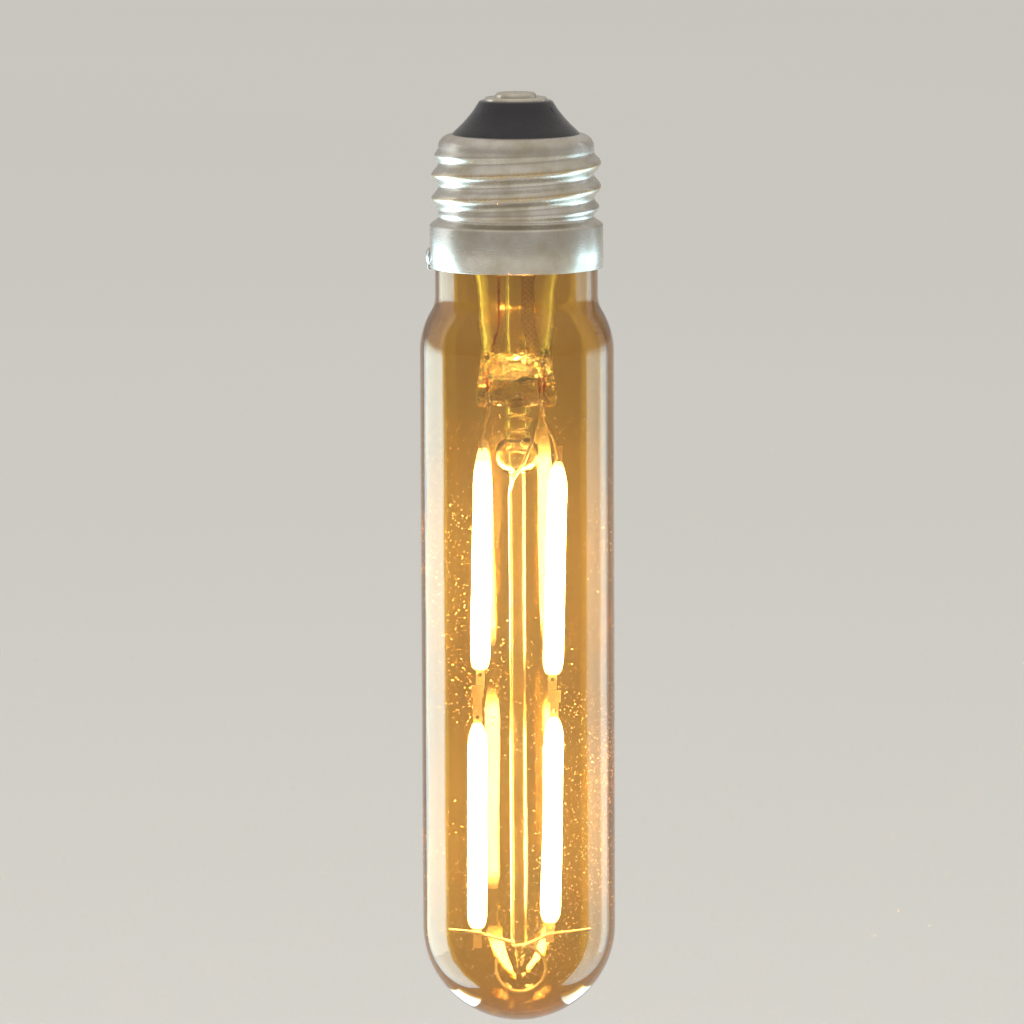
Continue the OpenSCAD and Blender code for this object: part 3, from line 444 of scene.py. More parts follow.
def stamped_tab():
    """Thin strip, stamped and plated with matt tin: pale satin metal with lines along it and
    a straw tint of heat."""
    material, tree, shader = new_finish("matt tin plated strip", Metallic=0.35)
    where = add(tree, "ShaderNodeTexCoord").outputs["Object"]
    drawn = add(tree, "ShaderNodeMapping", {"Vector": where, "Scale": (1, 1, 0.08)})
    lines = add(tree, "ShaderNodeTexNoise", {
        "Vector": drawn.outputs[0], "Scale": blotches(0.12), "Detail": 3})
    heat = add(tree, "ShaderNodeTexNoise", {"Vector": where, "Scale": blotches(1.5)})
    tint = add(tree, "ShaderNodeMix", {
        "Factor": heat.outputs["Fac"], FIRST: linear("#F6F8F8"), OTHER: linear("#EADFC4")},
        data_type="RGBA")
    gloss = add(tree, "ShaderNodeMapRange", {
        "Value": lines.outputs["Fac"], "From Min": 0.3, "From Max": 0.7,
        "To Min": 0.36, "To Max": 0.58})
    raised = add(tree, "ShaderNodeBump", {"Height": lines.outputs["Fac"], "Distance": 0.03 * MM})
    drive(tree, shader, Base_Color=tint.outputs[MIXED], Roughness=gloss.outputs[0],
          Normal=raised.outputs[0])
    return material


def fired_ceramic():
    """White alumina strip as fired: matt, with a grain finer than the eye sees, drawn at
    0.08 mm so that it shows."""
    material, tree, shader = new_finish("fired alumina ceramic", Roughness=0.6)
    where = add(tree, "ShaderNodeTexCoord").outputs["Object"]
    grit = add(tree, "ShaderNodeTexNoise", {"Vector": where, "Scale": blotches(0.08)})
    tint = add(tree, "ShaderNodeMix", {
        "Factor": grit.outputs["Fac"], FIRST: linear("#E2DDD3"), OTHER: linear("#F6F3EC")},
        data_type="RGBA")
    drive(tree, shader, Base_Color=tint.outputs[MIXED])
    return material


def polished_chip():
    """Gallium nitride on sapphire, polished: glossy straw green with fine metal traces."""
    material, tree, shader = new_finish("polished LED chip", Roughness=0.15, Coat_Weight=0.5)
    where = add(tree, "ShaderNodeTexCoord").outputs["Object"]
    traces = add(tree, "ShaderNodeTexWave", {"Vector": where, "Scale": bands(0.2)},
                 bands_direction="Z")
    tint = add(tree, "ShaderNodeMix", {
        "Factor": traces.outputs["Fac"], FIRST: linear("#8C8A4C"), OTHER: linear("#C9AC52")},
        data_type="RGBA")
    drive(tree, shader, Base_Color=tint.outputs[MIXED])
    return material


def board_lacquer():
    """Glass-fibre board under green solder resist: satin lacquer over cloth whose threads
    lie 0.5 mm apart."""
    material, tree, shader = new_finish("green lacquered glass-fibre board", Roughness=0.35)
    where = add(tree, "ShaderNodeTexCoord").outputs["Object"]
    warp = add(tree, "ShaderNodeTexWave", {"Vector": where, "Scale": bands(0.5)},
               bands_direction="X")
    weft = add(tree, "ShaderNodeTexWave", {"Vector": where, "Scale": bands(0.5)},
               bands_direction="Y")
    cloth = add(tree, "ShaderNodeMath", {
        0: warp.outputs["Fac"], 1: weft.outputs["Fac"]}, operation="MULTIPLY")
    tint = add(tree, "ShaderNodeMix", {
        "Factor": cloth.outputs[0], FIRST: linear("#1B5A38"), OTHER: linear("#2F7F51")},
        data_type="RGBA")
    raised = add(tree, "ShaderNodeBump", {"Height": cloth.outputs[0], "Distance": 0.012 * MM})
    drive(tree, shader, Base_Color=tint.outputs[MIXED], Normal=raised.outputs[0])
    return material


def moulded_part(name, dark, pale, roughness):
    """Moulded, sleeved or dipped component body: fine grain and a soft uneven gloss."""
    material, tree, shader = new_finish(name)
    where = add(tree, "ShaderNodeTexCoord").outputs["Object"]
    fine = add(tree, "ShaderNodeTexNoise", {"Vector": where, "Scale": blotches(0.3), "Detail": 3})
    tint = add(tree, "ShaderNodeMix", {
        "Factor": fine.outputs["Fac"], FIRST: linear(dark), OTHER: linear(pale)}, data_type="RGBA")
    gloss = add(tree, "ShaderNodeMapRange", {
        "Value": fine.outputs["Fac"], "From Min": 0.3, "From Max": 0.7,
        "To Min": roughness - 0.08, "To Max": roughness + 0.08})
    raised = add(tree, "ShaderNodeBump", {"Height": fine.outputs["Fac"], "Distance": 0.015 * MM})
    drive(tree, shader, Base_Color=tint.outputs[MIXED], Roughness=gloss.outputs[0],
          Normal=raised.outputs[0])
    return material


def dust():
    """Fine glass grit and dust: frosted specks that catch the lamp's own light."""
    material, tree, shader = new_finish(
        "glass grit", Roughness=0.5, IOR=1.5, Transmission_Weight=0.55)
    where = add(tree, "ShaderNodeTexCoord").outputs["Object"]
    tone = add(tree, "ShaderNodeTexNoise", {"Vector": where, "Scale": blotches(1)})
    tint = add(tree, "ShaderNodeMix", {
        "Factor": tone.outputs["Fac"], FIRST: linear("#FFE3A6"), OTHER: linear("#FFF8E6")},
        data_type="RGBA")
    drive(tree, shader, Base_Color=tint.outputs[MIXED])
    return material


BULB_GLASS = amber_tube_glass()
STEM_GLASS = flame_worked_glass("clear pressed stem glass", "#FDFCF6", 0.03)
POST_GLASS = flame_worked_glass("clear drawn post glass", "#FDFCF6", 0.012)
CANE_GLASS = flame_worked_glass("clear drawn glass cane", "#FDFCF6", 0.012, roughness=0.2)
NICKEL_WIRE = drawn_wire("annealed nickel wire", "#F6F4EE", "#E6DABE", 0.4, metallic=0.4)
COPPER_WIRE = drawn_wire("drawn copper wire", "#D0875C", "#9A6242", 0.25)
TINNED_WIRE = drawn_wire("tinned copper wire", "#CFCDC8", "#A8A49B", 0.25)
DUMET = dumet_wire()
SLEEVE = glass_fibre_sleeve()
PHOSPHOR = lit_phosphor()
CERAMIC = fired_ceramic()
CHIP = polished_chip()
TAB = stamped_tab()
CAP_NICKEL = rolled_nickel_brass()
CONTACT = pressed_nickel()
CAP_GLASS = black_cap_glass()
SOLDER = set_solder()
CEMENT = basing_cement()
BOARD = board_lacquer()
BLACK_RESIN = moulded_part("black moulding resin", "#17171A", "#2A2A2F", 0.45)
CAN_SLEEVE = moulded_part("shrink sleeved can", "#1B2434", "#2B3950", 0.35)
RESISTOR = moulded_part("lacquered ceramic resistor", "#8FB0BF", "#AFCBD6", 0.4)
DUST = dust()


# Shapes

def arc(centre, radius, start, end, steps, rise=None):
    """Points of an arc about a centre, in degrees. rise is the upright radius, where it
    differs."""
    upright = radius if rise is None else rise
    turns = [math.radians(start + (end - start) * i / steps) for i in range(steps + 1)]
    return [(centre[0] + radius * math.cos(a), centre[1] + upright * math.sin(a)) for a in turns]


def smooth(t):
    t = min(max(t, 0), 1)
    return t * t * (3 - 2 * t)


def mix(a, b, t):
    return a + (b - a) * t


def in_scene(name, data):
    """A new object of the scene, at the origin."""
    obj = bpy.data.objects.new(name, data)
    bpy.context.scene.collection.objects.link(obj)
    return obj


def shade(mesh, sharp):
    """Shades a mesh smooth, with its edges kept past an angle."""
    mesh.shade_smooth()
    if sharp:
        mesh.set_sharp_from_angle(angle=math.radians(sharp))


def new_piece(name, points, faces, material, sharp=40):
    """A piece from points in millimetres, its faces turned outwards."""
    mesh = bpy.data.meshes.new(name)
    mesh.from_pydata([tuple(c * MM for c in p) for p in points], [], faces)
    shape = bmesh.new()
    shape.from_mesh(mesh)
    bmesh.ops.recalc_face_normals(shape, faces=shape.faces)
    shape.to_mesh(mesh)
    shape.free()
    shade(mesh, sharp)
    mesh.materials.append(material)
    return in_scene(name, mesh)


def ring_angles(radius, sides):
    """Angles of a ring's points. A ring of no radius is one point, a pole."""
    return [2 * math.pi * k / sides for k in range(sides if radius > 1e-6 else 1)]


def skin(rings, closed=False):
    """Points and faces of a skin that joins each ring of points to the next. A closed one
    joins the last ring to the first."""
    points, spans, faces = [], [], []
    for ring in rings:
        spans.append(range(len(points), len(points) + len(ring)))
        points += ring
    if closed:
        spans.append(spans[0])
    for one, other in zip(spans, spans[1:]):
        sides = max(len(one), len(other))
        for k in range(sides):
            m = (k + 1) % sides
            if len(one) > 1 and len(other) > 1:
                faces.append((one[k], one[m], other[m], other[k]))
            elif len(one) > 1:
                faces.append((one[k], one[m], other[0]))
            elif len(other) > 1:
                faces.append((one[0], other[m], other[k]))
    return points, faces


def lathe(name, outline, sides, material, sharp=40):
    """A closed outline of radius and height, turned round the lamp's axis."""
    rings = [[(radius * math.cos(a), radius * math.sin(a), z) for a in ring_angles(radius, sides)]
             for radius, z in outline]
    return new_piece(name, *skin(rings, closed=True), material, sharp)


def seat(piece, slot, *nodes):
    """Puts a finished piece on the lamp in place of its CAD nodes."""
    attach(piece, "root")
    if nodes:
        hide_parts(*nodes)
    return piece


def dress(node, material):
    """Gives a CAD node that is shown as it is its finish."""
    for slot in frame["nodes"][node].material_slots:
        slot.material = material


def refined(node, name, material, slot, levels=1, sharp=None):
    """A CAD node's own shape as one joined skin, rounded by subdivision."""
    mesh = frame["nodes"][node].data.copy()
    shape = bmesh.new()
    shape.from_mesh(mesh)
    bmesh.ops.remove_doubles(shape, verts=shape.verts, dist=0.0005 * MM)
    bmesh.ops.join_triangles(
        shape, faces=shape.faces, angle_face_threshold=0.7, angle_shape_threshold=0.9)
    shape.to_mesh(mesh)
    shape.free()
    mesh.name = name
    mesh.materials.clear()
    mesh.materials.append(material)
    shade(mesh, sharp)
    piece = in_scene(name, mesh)
    if levels:
        rounding = piece.modifiers.new("rounding", "SUBSURF")
        rounding.levels = rounding.render_levels = levels
    seat(piece, slot, node)


# Geometry Nodes

def new_tree(name, sizes):
    """A Geometry Nodes tree with a geometry input and one named input for each size."""
    tree = bpy.data.node_groups.new(name, "GeometryNodeTree")
    tree.interface.new_socket("Geometry", in_out="INPUT", socket_type="NodeSocketGeometry")
    for size, kind in sizes.items():
        tree.interface.new_socket(size, in_out="INPUT", socket_type=kind)
    tree.interface.new_socket("Geometry", in_out="OUTPUT", socket_type="NodeSocketGeometry")
    return tree, add(tree, "NodeGroupInput").outputs


def end_tree(tree, geometry, material):
    """Every tree ends with real geometry that carries its material."""
    real = add(tree, "GeometryNodeRealizeInstances", {"Geometry": geometry})
    painted = add(tree, "GeometryNodeSetMaterial", {
        "Geometry": real.outputs[0], "Material": material})
    add(tree, "NodeGroupOutput", {"Geometry": painted.outputs[0]})


def settle(piece, tree, **sizes):
    """Runs a tree on a piece with these sizes and keeps the result as its plain mesh."""
    modifier = piece.modifiers.new(tree.name, "NODES")
    modifier.node_group = tree
    for item in tree.interface.items_tree:
        if item.in_out == "INPUT" and item.name.replace(" ", "_") in sizes:
            modifier[item.identifier] = sizes[item.name.replace(" ", "_")]
    ready = piece.evaluated_get(bpy.context.evaluated_depsgraph_get())
    made = bpy.data.meshes.new_from_object(ready)
    piece.modifiers.clear()
    piece.data = made
    return piece


def wire_tree():
    """A line of points becomes a round wire with bent corners and closed ends."""
    tree, sizes = new_tree("round_wire", {
        "Wire Radius": "NodeSocketFloat", "Bend Radius": "NodeSocketFloat",
        "Sides": "NodeSocketInt", "Finish": "NodeSocketMaterial"})
    line = add(tree, "GeometryNodeMeshToCurve", {"Mesh": sizes["Geometry"]})
    bent = add(tree, "GeometryNodeFilletCurve", {
        "Curve": line.outputs[0], "Count": 8, "Radius": sizes["Bend Radius"], "Limit Radius": True,
    }, mode="POLY")
    profile = add(tree, "GeometryNodeCurvePrimitiveCircle", {
        "Resolution": sizes["Sides"], "Radius": sizes["Wire Radius"]}, mode="RADIUS")
    skin = add(tree, "GeometryNodeCurveToMesh", {
        "Curve": bent.outputs[0], "Profile Curve": profile.outputs[0], "Fill Caps": True})
    smoothed = add(tree, "GeometryNodeSetShadeSmooth", {"Geometry": skin.outputs[0]})
    end_tree(tree, smoothed.outputs[0], sizes["Finish"])
    return tree


def thread_tree():
    """Rolls a round thread into a turned shell: the wall moves out by a wave that climbs
    one pitch a turn, and runs out smoothly at both ends."""
    tree, sizes = new_tree("rolled_thread", {
        "Top": "NodeSocketFloat", "End": "NodeSocketFloat", "Run Out": "NodeSocketFloat",
        "Depth": "NodeSocketFloat", "Pitch": "NodeSocketFloat", "Finish": "NodeSocketMaterial"})
    where = add(tree, "GeometryNodeInputPosition").outputs[0]
    part = add(tree, "ShaderNodeSeparateXYZ", {"Vector": where}).outputs
    angle = add(tree, "ShaderNodeMath", {0: part["Y"], 1: part["X"]}, operation="ARCTAN2")
    rise = add(tree, "ShaderNodeMath", {0: part["Z"], 1: sizes["Pitch"]}, operation="DIVIDE")
    turns = add(tree, "ShaderNodeMath", {0: rise.outputs[0], 1: 2 * math.pi}, operation="MULTIPLY")
    phase = add(tree, "ShaderNodeMath", {
        0: turns.outputs[0], 1: angle.outputs[0]}, operation="SUBTRACT")
    wave = add(tree, "ShaderNodeMath", {0: phase.outputs[0]}, operation="COSINE")
    share = add(tree, "ShaderNodeMath", {
        0: wave.outputs[0], 1: 0.5, 2: 0.5}, operation="MULTIPLY_ADD")
    from_top = add(tree, "ShaderNodeMath", {0: sizes["Top"], 1: part["Z"]}, operation="SUBTRACT")
    from_end = add(tree, "ShaderNodeMath", {0: part["Z"], 1: sizes["End"]}, operation="SUBTRACT")
    start = add(tree, "ShaderNodeMapRange", {
        "Value": from_top.outputs[0], "From Max": sizes["Run Out"]},
        interpolation_type="SMOOTHSTEP")
    stop = add(tree, "ShaderNodeMapRange", {
        "Value": from_end.outputs[0], "From Max": sizes["Run Out"]},
        interpolation_type="SMOOTHSTEP")
    both = add(tree, "ShaderNodeMath", {
        0: start.outputs[0], 1: stop.outputs[0]}, operation="MULTIPLY")
    swell = add(tree, "ShaderNodeMath", {
        0: share.outputs[0], 1: both.outputs[0]}, operation="MULTIPLY")
    out = add(tree, "ShaderNodeMath", {
        0: swell.outputs[0], 1: sizes["Depth"]}, operation="MULTIPLY")
    flat = add(tree, "ShaderNodeVectorMath", {0: where, 1: (1, 1, 0)}, operation="MULTIPLY")
    outward = add(tree, "ShaderNodeVectorMath", {0: flat.outputs[0]}, operation="NORMALIZE")
    shift = add(tree, "ShaderNodeVectorMath", {
        0: outward.outputs[0], "Scale": out.outputs[0]}, operation="SCALE")
    moved = add(tree, "GeometryNodeSetPosition", {
        "Geometry": sizes["Geometry"], "Offset": shift.outputs[0]})
    end_tree(tree, moved.outputs[0], sizes["Finish"])
    return tree


def speck_tree():
    """Scatters small rounded specks over a surface, thick in some places and thin in
    others. The seed is fixed."""
    tree, sizes = new_tree("specks", {
        "Density": "NodeSocketFloat", "Speck Radius": "NodeSocketFloat",
        "Patch Size": "NodeSocketFloat", "Flatness": "NodeSocketFloat",
        "Roundness": "NodeSocketInt", "Inside Out": "NodeSocketBool",
        "Seed": "NodeSocketInt", "Finish": "NodeSocketMaterial"})
    patch = add(tree, "ShaderNodeMath", {0: 1.0, 1: sizes["Patch Size"]}, operation="DIVIDE")
    cloud = add(tree, "ShaderNodeTexNoise", {"Scale": patch.outputs[0], "Detail": 2.0})
    share = add(tree, "ShaderNodeMapRange", {
        "Value": cloud.outputs["Fac"], "From Min": 0.42, "From Max": 0.7})
    density = add(tree, "ShaderNodeMath", {
        0: share.outputs[0], 1: sizes["Density"]}, operation="MULTIPLY")
    spots = add(tree, "GeometryNodeDistributePointsOnFaces", {
        "Mesh": sizes["Geometry"], "Density": density.outputs[0], "Seed": sizes["Seed"]})
    speck = add(tree, "GeometryNodeMeshIcoSphere", {
        "Radius": sizes["Speck Radius"], "Subdivisions": sizes["Roundness"]})
    # Inputs 2 and 3 are the ends of the range of a single number, and output 1 is the number
    size = add(tree, "FunctionNodeRandomValue", {2: 0.25, 3: 1.0, "Seed": sizes["Seed"]})
    height = add(tree, "ShaderNodeMath", {
        0: size.outputs[1], 1: sizes["Flatness"]}, operation="MULTIPLY")
    shape = add(tree, "ShaderNodeCombineXYZ", {
        "X": size.outputs[1], "Y": size.outputs[1], "Z": height.outputs[0]})
    placed = add(tree, "GeometryNodeInstanceOnPoints", {
        "Points": spots.outputs["Points"], "Instance": speck.outputs[0],
        "Rotation": spots.outputs["Rotation"], "Scale": shape.outputs[0]})
    real = add(tree, "GeometryNodeRealizeInstances", {"Geometry": placed.outputs[0]})
    turned = add(tree, "GeometryNodeFlipFaces", {
        "Mesh": real.outputs[0], "Selection": sizes["Inside Out"]})
    smoothed = add(tree, "GeometryNodeSetShadeSmooth", {"Geometry": turned.outputs[0]})
    end_tree(tree, smoothed.outputs[0], sizes["Finish"])
    return tree


WIRE_TREE = wire_tree()
THREAD_TREE = thread_tree()
SPECK_TREE = speck_tree()


# Bulb

def bulb_outline(inset):
    """The bulb's outline from the neck to the dome, moved in by inset."""
    turn = math.degrees(math.acos(1 - (TUBE_R - NECK_R) / (SHOULDER_R + HOLLOW_R)))
    hollow_z = SKIRT_Z - NECK_LEN
    shoulder_z = hollow_z - (SHOULDER_R + HOLLOW_R) * math.sin(math.radians(turn))
    neck_rows, tube_rows = 6, 70
    return (
        [(NECK_R - inset, mix(NECK_TOP_Z, hollow_z, i / neck_rows)) for i in range(neck_rows)]
        + arc((NECK_R + HOLLOW_R, hollow_z), HOLLOW_R + inset, 180, 180 + turn, 12)
        + arc((TUBE_R - SHOULDER_R, shoulder_z), SHOULDER_R - inset, turn, 0, 16)[1:]
        + [(TUBE_R - inset, mix(shoulder_z, DOME_Z, i / tube_rows)) for i in range(1, tube_rows)]
        + arc((0, DOME_Z), TUBE_R - inset, 0, -90, 36)[:-1]
        + [(0, APEX_Z + inset)]
    )


def waver(mesh, depth, inner_r):
    """Hand and flame leave blown glass a little uneven, most of all inside. The swellings
    are about 7 mm wide and three times as long."""
    width, shortened, outer_share = 7, 0.35, 0.4
    inner_place = Vector((0, 0, 9))
    for vertex in mesh.vertices:
        out = Vector((vertex.co.x, vertex.co.y, 0))
        if out.length < 1e-6:
            continue
        place = Vector((vertex.co.x, vertex.co.y, vertex.co.z * shortened)) / MM / width
        if out.length / MM < inner_r:
            amount = depth * noise.noise(place + inner_place)
        else:
            amount = depth * outer_share * noise.noise(place)
        vertex.co += out.normalized() * amount * MM


def bulb_glass():
    """Tube, dome, shoulder and neck in one thin wall."""
    outline = bulb_outline(0) + bulb_outline(GLASS_WALL)[::-1]
    piece = lathe("bulb_glass", outline, 160, BULB_GLASS, sharp=60)
    waver(piece.data, 0.07, TUBE_R - GLASS_WALL / 2)
    return seat(piece, "bulb_glass", "glass_envelope")


def glass_dust(bulb):
    """Specks of dust on both faces of the glass round the filaments."""
    piece = in_scene("glass_dust", bulb.data.copy())
    shape = bmesh.new()
    shape.from_mesh(piece.data)
    top, bottom = (PRESS_Z - 2) * MM, (APEX_Z + 8) * MM
    away = [v for v in shape.verts if not bottom < v.co.z < top]
    bmesh.ops.delete(shape, geom=away, context="VERTS")
    shape.to_mesh(piece.data)
    shape.free()
    settle(piece, SPECK_TREE, Density=1.1e6, Speck_Radius=0.15 * MM, Patch_Size=22 * MM,
           Flatness=0.45, Roundness=1, Inside_Out=False, Seed=11, Finish=DUST)
    seat(piece, "bulb_glass")


# Stem

# Fixes the draw behind noise_vector, so that the glass folds the same way each time
noise.seed_set(FOLD_SEED)


def squeezed(half_w, half_t, power, z):
    """A ring between a circle, at power 2, and a flat press with round ends, at power 4."""
    ring = []
    for a in ring_angles(half_w, STEM_SIDES):
        c, s = math.cos(a), math.sin(a)
        ring.append(Vector((math.copysign(abs(c) ** (2 / power), c) * half_w,
                            math.copysign(abs(s) ** (2 / power), s) * half_t, z)))
    return ring


def round_ring(radius, z):
    return squeezed(radius, radius, 2, z)


def arched(point, share):
    """Lifts a point by a share of the press's lower edge: one arch each side of the post."""
    middle_x, half_w, height = 3.3, 1.5, 0.75
    across = (abs(point.x) - middle_x) / half_w
    return point + Vector((0, 0, height * math.sqrt(max(0, 1 - across * across)) * share))


def crumple(point, depth, size):
    """Moves a point as hot glass folds when jaws squeeze it."""
    place = point / size
    return point + noise.noise_vector(place) * depth + noise.noise_vector(place * 2.3) * depth * 0.6


def stem_rings():
    """Rings of the stem's skin: up the inside from its closed foot, over the rim, and down
    the outside to the arched foot of the press and into the socket of the post."""
    flare_z, waist_z = NECK_TOP_Z - FLARE_LEN, PRESS_Z + PRESS_H
    inner_r, waist_in_r = STEM_R - STEM_WALL, WAIST_R - STEM_WALL
    small_fold, large_fold = 0.85, 1.2

    # The throat: a folded slit that opens into the round waist
    seal_top_z, throat_z, dip = waist_z - 1.4, waist_z + 1.6, 0.3
    slit_w, slit_t, slit_power = PRESS_W / 2 - 1.4, 0.7, 3
    rings = [[Vector((0, 0, seal_top_z - dip))]]
    for share in (0.25, 0.5, 0.75, 0.92):
        ring = squeezed(slit_w * share, slit_t * share, slit_power, seal_top_z - dip * (1 - share))
        rings.append([crumple(p, 0.7, small_fold) for p in ring])
    for i in range(17):
        t = i / 16
        wide, thick = mix(slit_w, waist_in_r, smooth(t)), mix(slit_t, waist_in_r, t ** 0.7)
        ring = squeezed(wide, thick, mix(slit_power, 2, t), mix(seal_top_z, throat_z, t))
        rings.append([crumple(p, 0.75 * (1 - 0.6 * smooth(t)), small_fold) for p in ring])
    for i in range(1, 17):
        t = i / 16
        ring = round_ring(mix(waist_in_r, inner_r, smooth(t)), mix(throat_z, flare_z, t))
        rings.append([crumple(p, 0.3 * (1 - smooth(t / 0.2)), small_fold) for p in ring])

    # The flare: up its inside, over the rim that is sealed to the neck, and down its outside
    lip, rim_edge, neck_gap, weld_gap = 0.15, 0.2, 0.15, 0.02
    rim_out_r = NECK_R - GLASS_WALL - neck_gap
    rim_in_r = rim_out_r - STEM_WALL
    flare = arc((rim_in_r, flare_z), inner_r - rim_in_r, 0, 90, 24, RIM_Z - lip - flare_z)[1:]
    flare += [(rim_in_r + lip, RIM_Z), (NECK_R - rim_edge, RIM_Z), (NECK_R, RIM_Z - rim_edge),
              (NECK_R, NECK_TOP_Z + weld_gap), (rim_out_r, NECK_TOP_Z + weld_gap)]
    flare += arc((rim_out_r, flare_z), STEM_R - rim_out_r, 90, 0, 24, FLARE_LEN)[1:]
    rings += [round_ring(radius, z) for radius, z in flare]
    for i in range(1, 17):
        t = i / 16
        ring = round_ring(mix(STEM_R, WAIST_R, smooth(t)), mix(flare_z, waist_z, t))
        rings.append([crumple(p, 0.44 * smooth((t - 0.7) / 0.3), large_fold) for p in ring])

    # The press, flatter and calmer towards its arched foot, whose edge is rounded
    press_power, edge_r, calm = 3.4, 0.6, 0.12
    for i in range(1, 31):
        t = i / 30
        wide = mix(WAIST_R, PRESS_W / 2, smooth(t / 0.75))
        thick = mix(WAIST_R, PRESS_T / 2, smooth(t / 0.55) ** 0.8)
        ring = squeezed(
            wide, thick, mix(2, press_power, smooth(t)), mix(waist_z, PRESS_Z + edge_r, t))
        depth = calm + 0.16 * (1 - smooth((t - 0.8) / 0.2)) + 0.16 * (1 - smooth((t - 0.35) / 0.2))
        lifted = smooth((t - 0.7) / 0.3)
        rings.append([crumple(arched(p, lifted), depth, large_fold) for p in ring])
    for i in range(1, 7):
        a = math.radians(90 * i / 6)
        inset, z = edge_r * (1 - math.cos(a)), PRESS_Z + edge_r * (1 - math.sin(a))
        ring = squeezed(PRESS_W / 2 - inset, PRESS_T / 2 - inset, press_power, z)
        rings.append([crumple(arched(p, 1), calm, large_fold) for p in ring])

    # In under the foot and up the socket, which has a domed roof
    socket_r, roof_z, dome = high("post_tube").x + FIT, high("post_tube").z + FIT, POST_DOME + FIT
    for share in (0.35, 0.7):
        wide = mix(PRESS_W / 2 - edge_r, socket_r + 0.1, share)
        thick = mix(PRESS_T / 2 - edge_r, socket_r + 0.1, share)
        ring = squeezed(wide, thick, mix(press_power, 2, share), PRESS_Z)
        rings.append([arched(p, 1 - share) for p in ring])
    roof = arc((0, roof_z - dome), socket_r, 0, 90, 12, dome)[:-1]
    rings += [round_ring(radius, z) for radius, z in [(socket_r, PRESS_Z)] + roof]
    return rings + [[Vector((0, 0, roof_z))]]


def press_bubbles():
    """Air bubbles that the jaws shut into the press, scattered on two sheets inside it."""
    half_w, depth, low_z, top_z = 5.2, 1.2, PRESS_Z + 3.3, PRESS_Z + PRESS_H - 2.2
    sheet = ((-half_w, low_z), (half_w, low_z), (half_w, top_z), (-half_w, top_z))
    corners = [Vector((x, y, z)) * MM for y in (-depth, depth) for x, z in sheet]
    mesh = bpy.data.meshes.new("press_bubbles")
    mesh.from_pydata(corners, [], [range(4), range(4, 8)])
    sheets = in_scene("press_bubbles", mesh)
    settle(sheets, SPECK_TREE, Density=9e6, Speck_Radius=0.2 * MM, Patch_Size=4 * MM,
           Flatness=1.0, Roundness=2, Inside_Out=True, Seed=5, Finish=STEM_GLASS)
    bubbles = sheets.data
    bpy.data.objects.remove(sheets)
    return bubbles


def stem():
    piece = new_piece("stem", *skin(stem_rings()), STEM_GLASS, sharp=50)
    # The bubbles' faces look into the air inside them, so they join after the skin is turned
    both = bmesh.new()
    both.from_mesh(piece.data)
    both.from_mesh(press_bubbles())
    both.to_mesh(piece.data)
    both.free()
    seat(piece, "stem_glass", "stem_flare")


def exhaust():
    """Pumping tube, drawn to a closed tip in the flame."""
    outer, tip_z = high("exhaust_tube").x, high("exhaust_tube").z
    foot_z, wall, edge, taper, bore_taper = low("exhaust_tube").z + 0.9, 0.6, 0.1, 3, 1.6
    bore, neck_z = outer - wall, tip_z - taper
    outline = [(bore, foot_z), (outer - edge, foot_z), (outer, foot_z + edge)]
    outline += arc((0, neck_z), outer, 0, 90, 16, taper)
    outline += arc((0, neck_z), bore, 90, 0, 12, bore_taper)
    seat(lathe("exhaust_glass", outline, 48, STEM_GLASS), "stem_glass", "exhaust_tube")


# Post

def post():
    """Thick tube with a domed top that sits in the press. Its bore is a row of three
    bubbles with domed tops, which show as stacked arcs."""
    wide, top_z, low_z = high("post_tube").x, high("post_tube").z, low("post_tube").z
    bore_r, web_r, bubble_dome = 1.2, 0.25, 0.75
    bubble_tops = [top_z - 1.2, top_z - 3.45, top_z - 5.7]
    rows, pinch = 24, 0.05
    outline = arc((0, top_z - POST_DOME), wide, 90, 0, 10, POST_DOME)
    for i in range(1, rows):
        uneven = pinch * abs(noise.noise(Vector((0, 0, i / 3))))
        outline.append((wide - uneven, mix(top_z - POST_DOME, low_z, i / rows)))
    outline += [(wide, low_z), (bore_r, low_z)]
    bore = [(0, bubble_tops[0])]
    for bubble_top, foot in zip(bubble_tops, bubble_tops[1:] + [low_z]):
        roof = arc((0, bubble_top - bubble_dome), bore_r, 80, 0, 8, bubble_dome)
        bore += [(max(radius, web_r), z) for radius, z in roof]
        if foot > low_z:
            bore += [(bore_r, foot + 0.3), (bore_r - 0.2, foot + 0.12), (web_r, foot + 0.1)]
    outline += bore[::-1]
    seat(lathe("post_beads", outline, STEM_SIDES, POST_GLASS), "post_glass", "post_tube")


def ball():
    """Hollow ball blown on the post, open where the rod enters. Its upper half is squarer
    than its lower one."""
    top_z, low_z, out_r = high("post_ball").z, low("post_ball").z, high("post_ball").x
    neck_r, foot_r = 0.5, high("post_rod").x + FIT
    middle_z, half = (top_z + low_z) / 2, (top_z - low_z) / 2
    upper_power, lower_power, cut_off = 2.9, 2.1, 0.12

    def shell(inset):
        rx, rz = out_r - inset, half + cut_off - inset
        points = []
        for i in range(41):
            rise = math.sin(math.radians(mix(88, -88, i / 40)))
            power = upper_power if rise > 0 else lower_power
            r, z = rx * (1 - abs(rise) ** power) ** (1 / power), middle_z + rz * rise
            if r > (neck_r if z > middle_z else foot_r):
                points.append((r, min(max(z, low_z), top_z)))
        return points

    outside, inside = shell(0), shell(BALL_WALL)
    outline = [(neck_r, top_z)] + outside + [(foot_r, low_z), (foot_r, inside[-1][1])]
    outline += inside[::-1] + [(neck_r, inside[0][1])]
    seat(lathe("post_bulb", outline, 80, POST_GLASS, sharp=60), "post_glass", "post_ball")


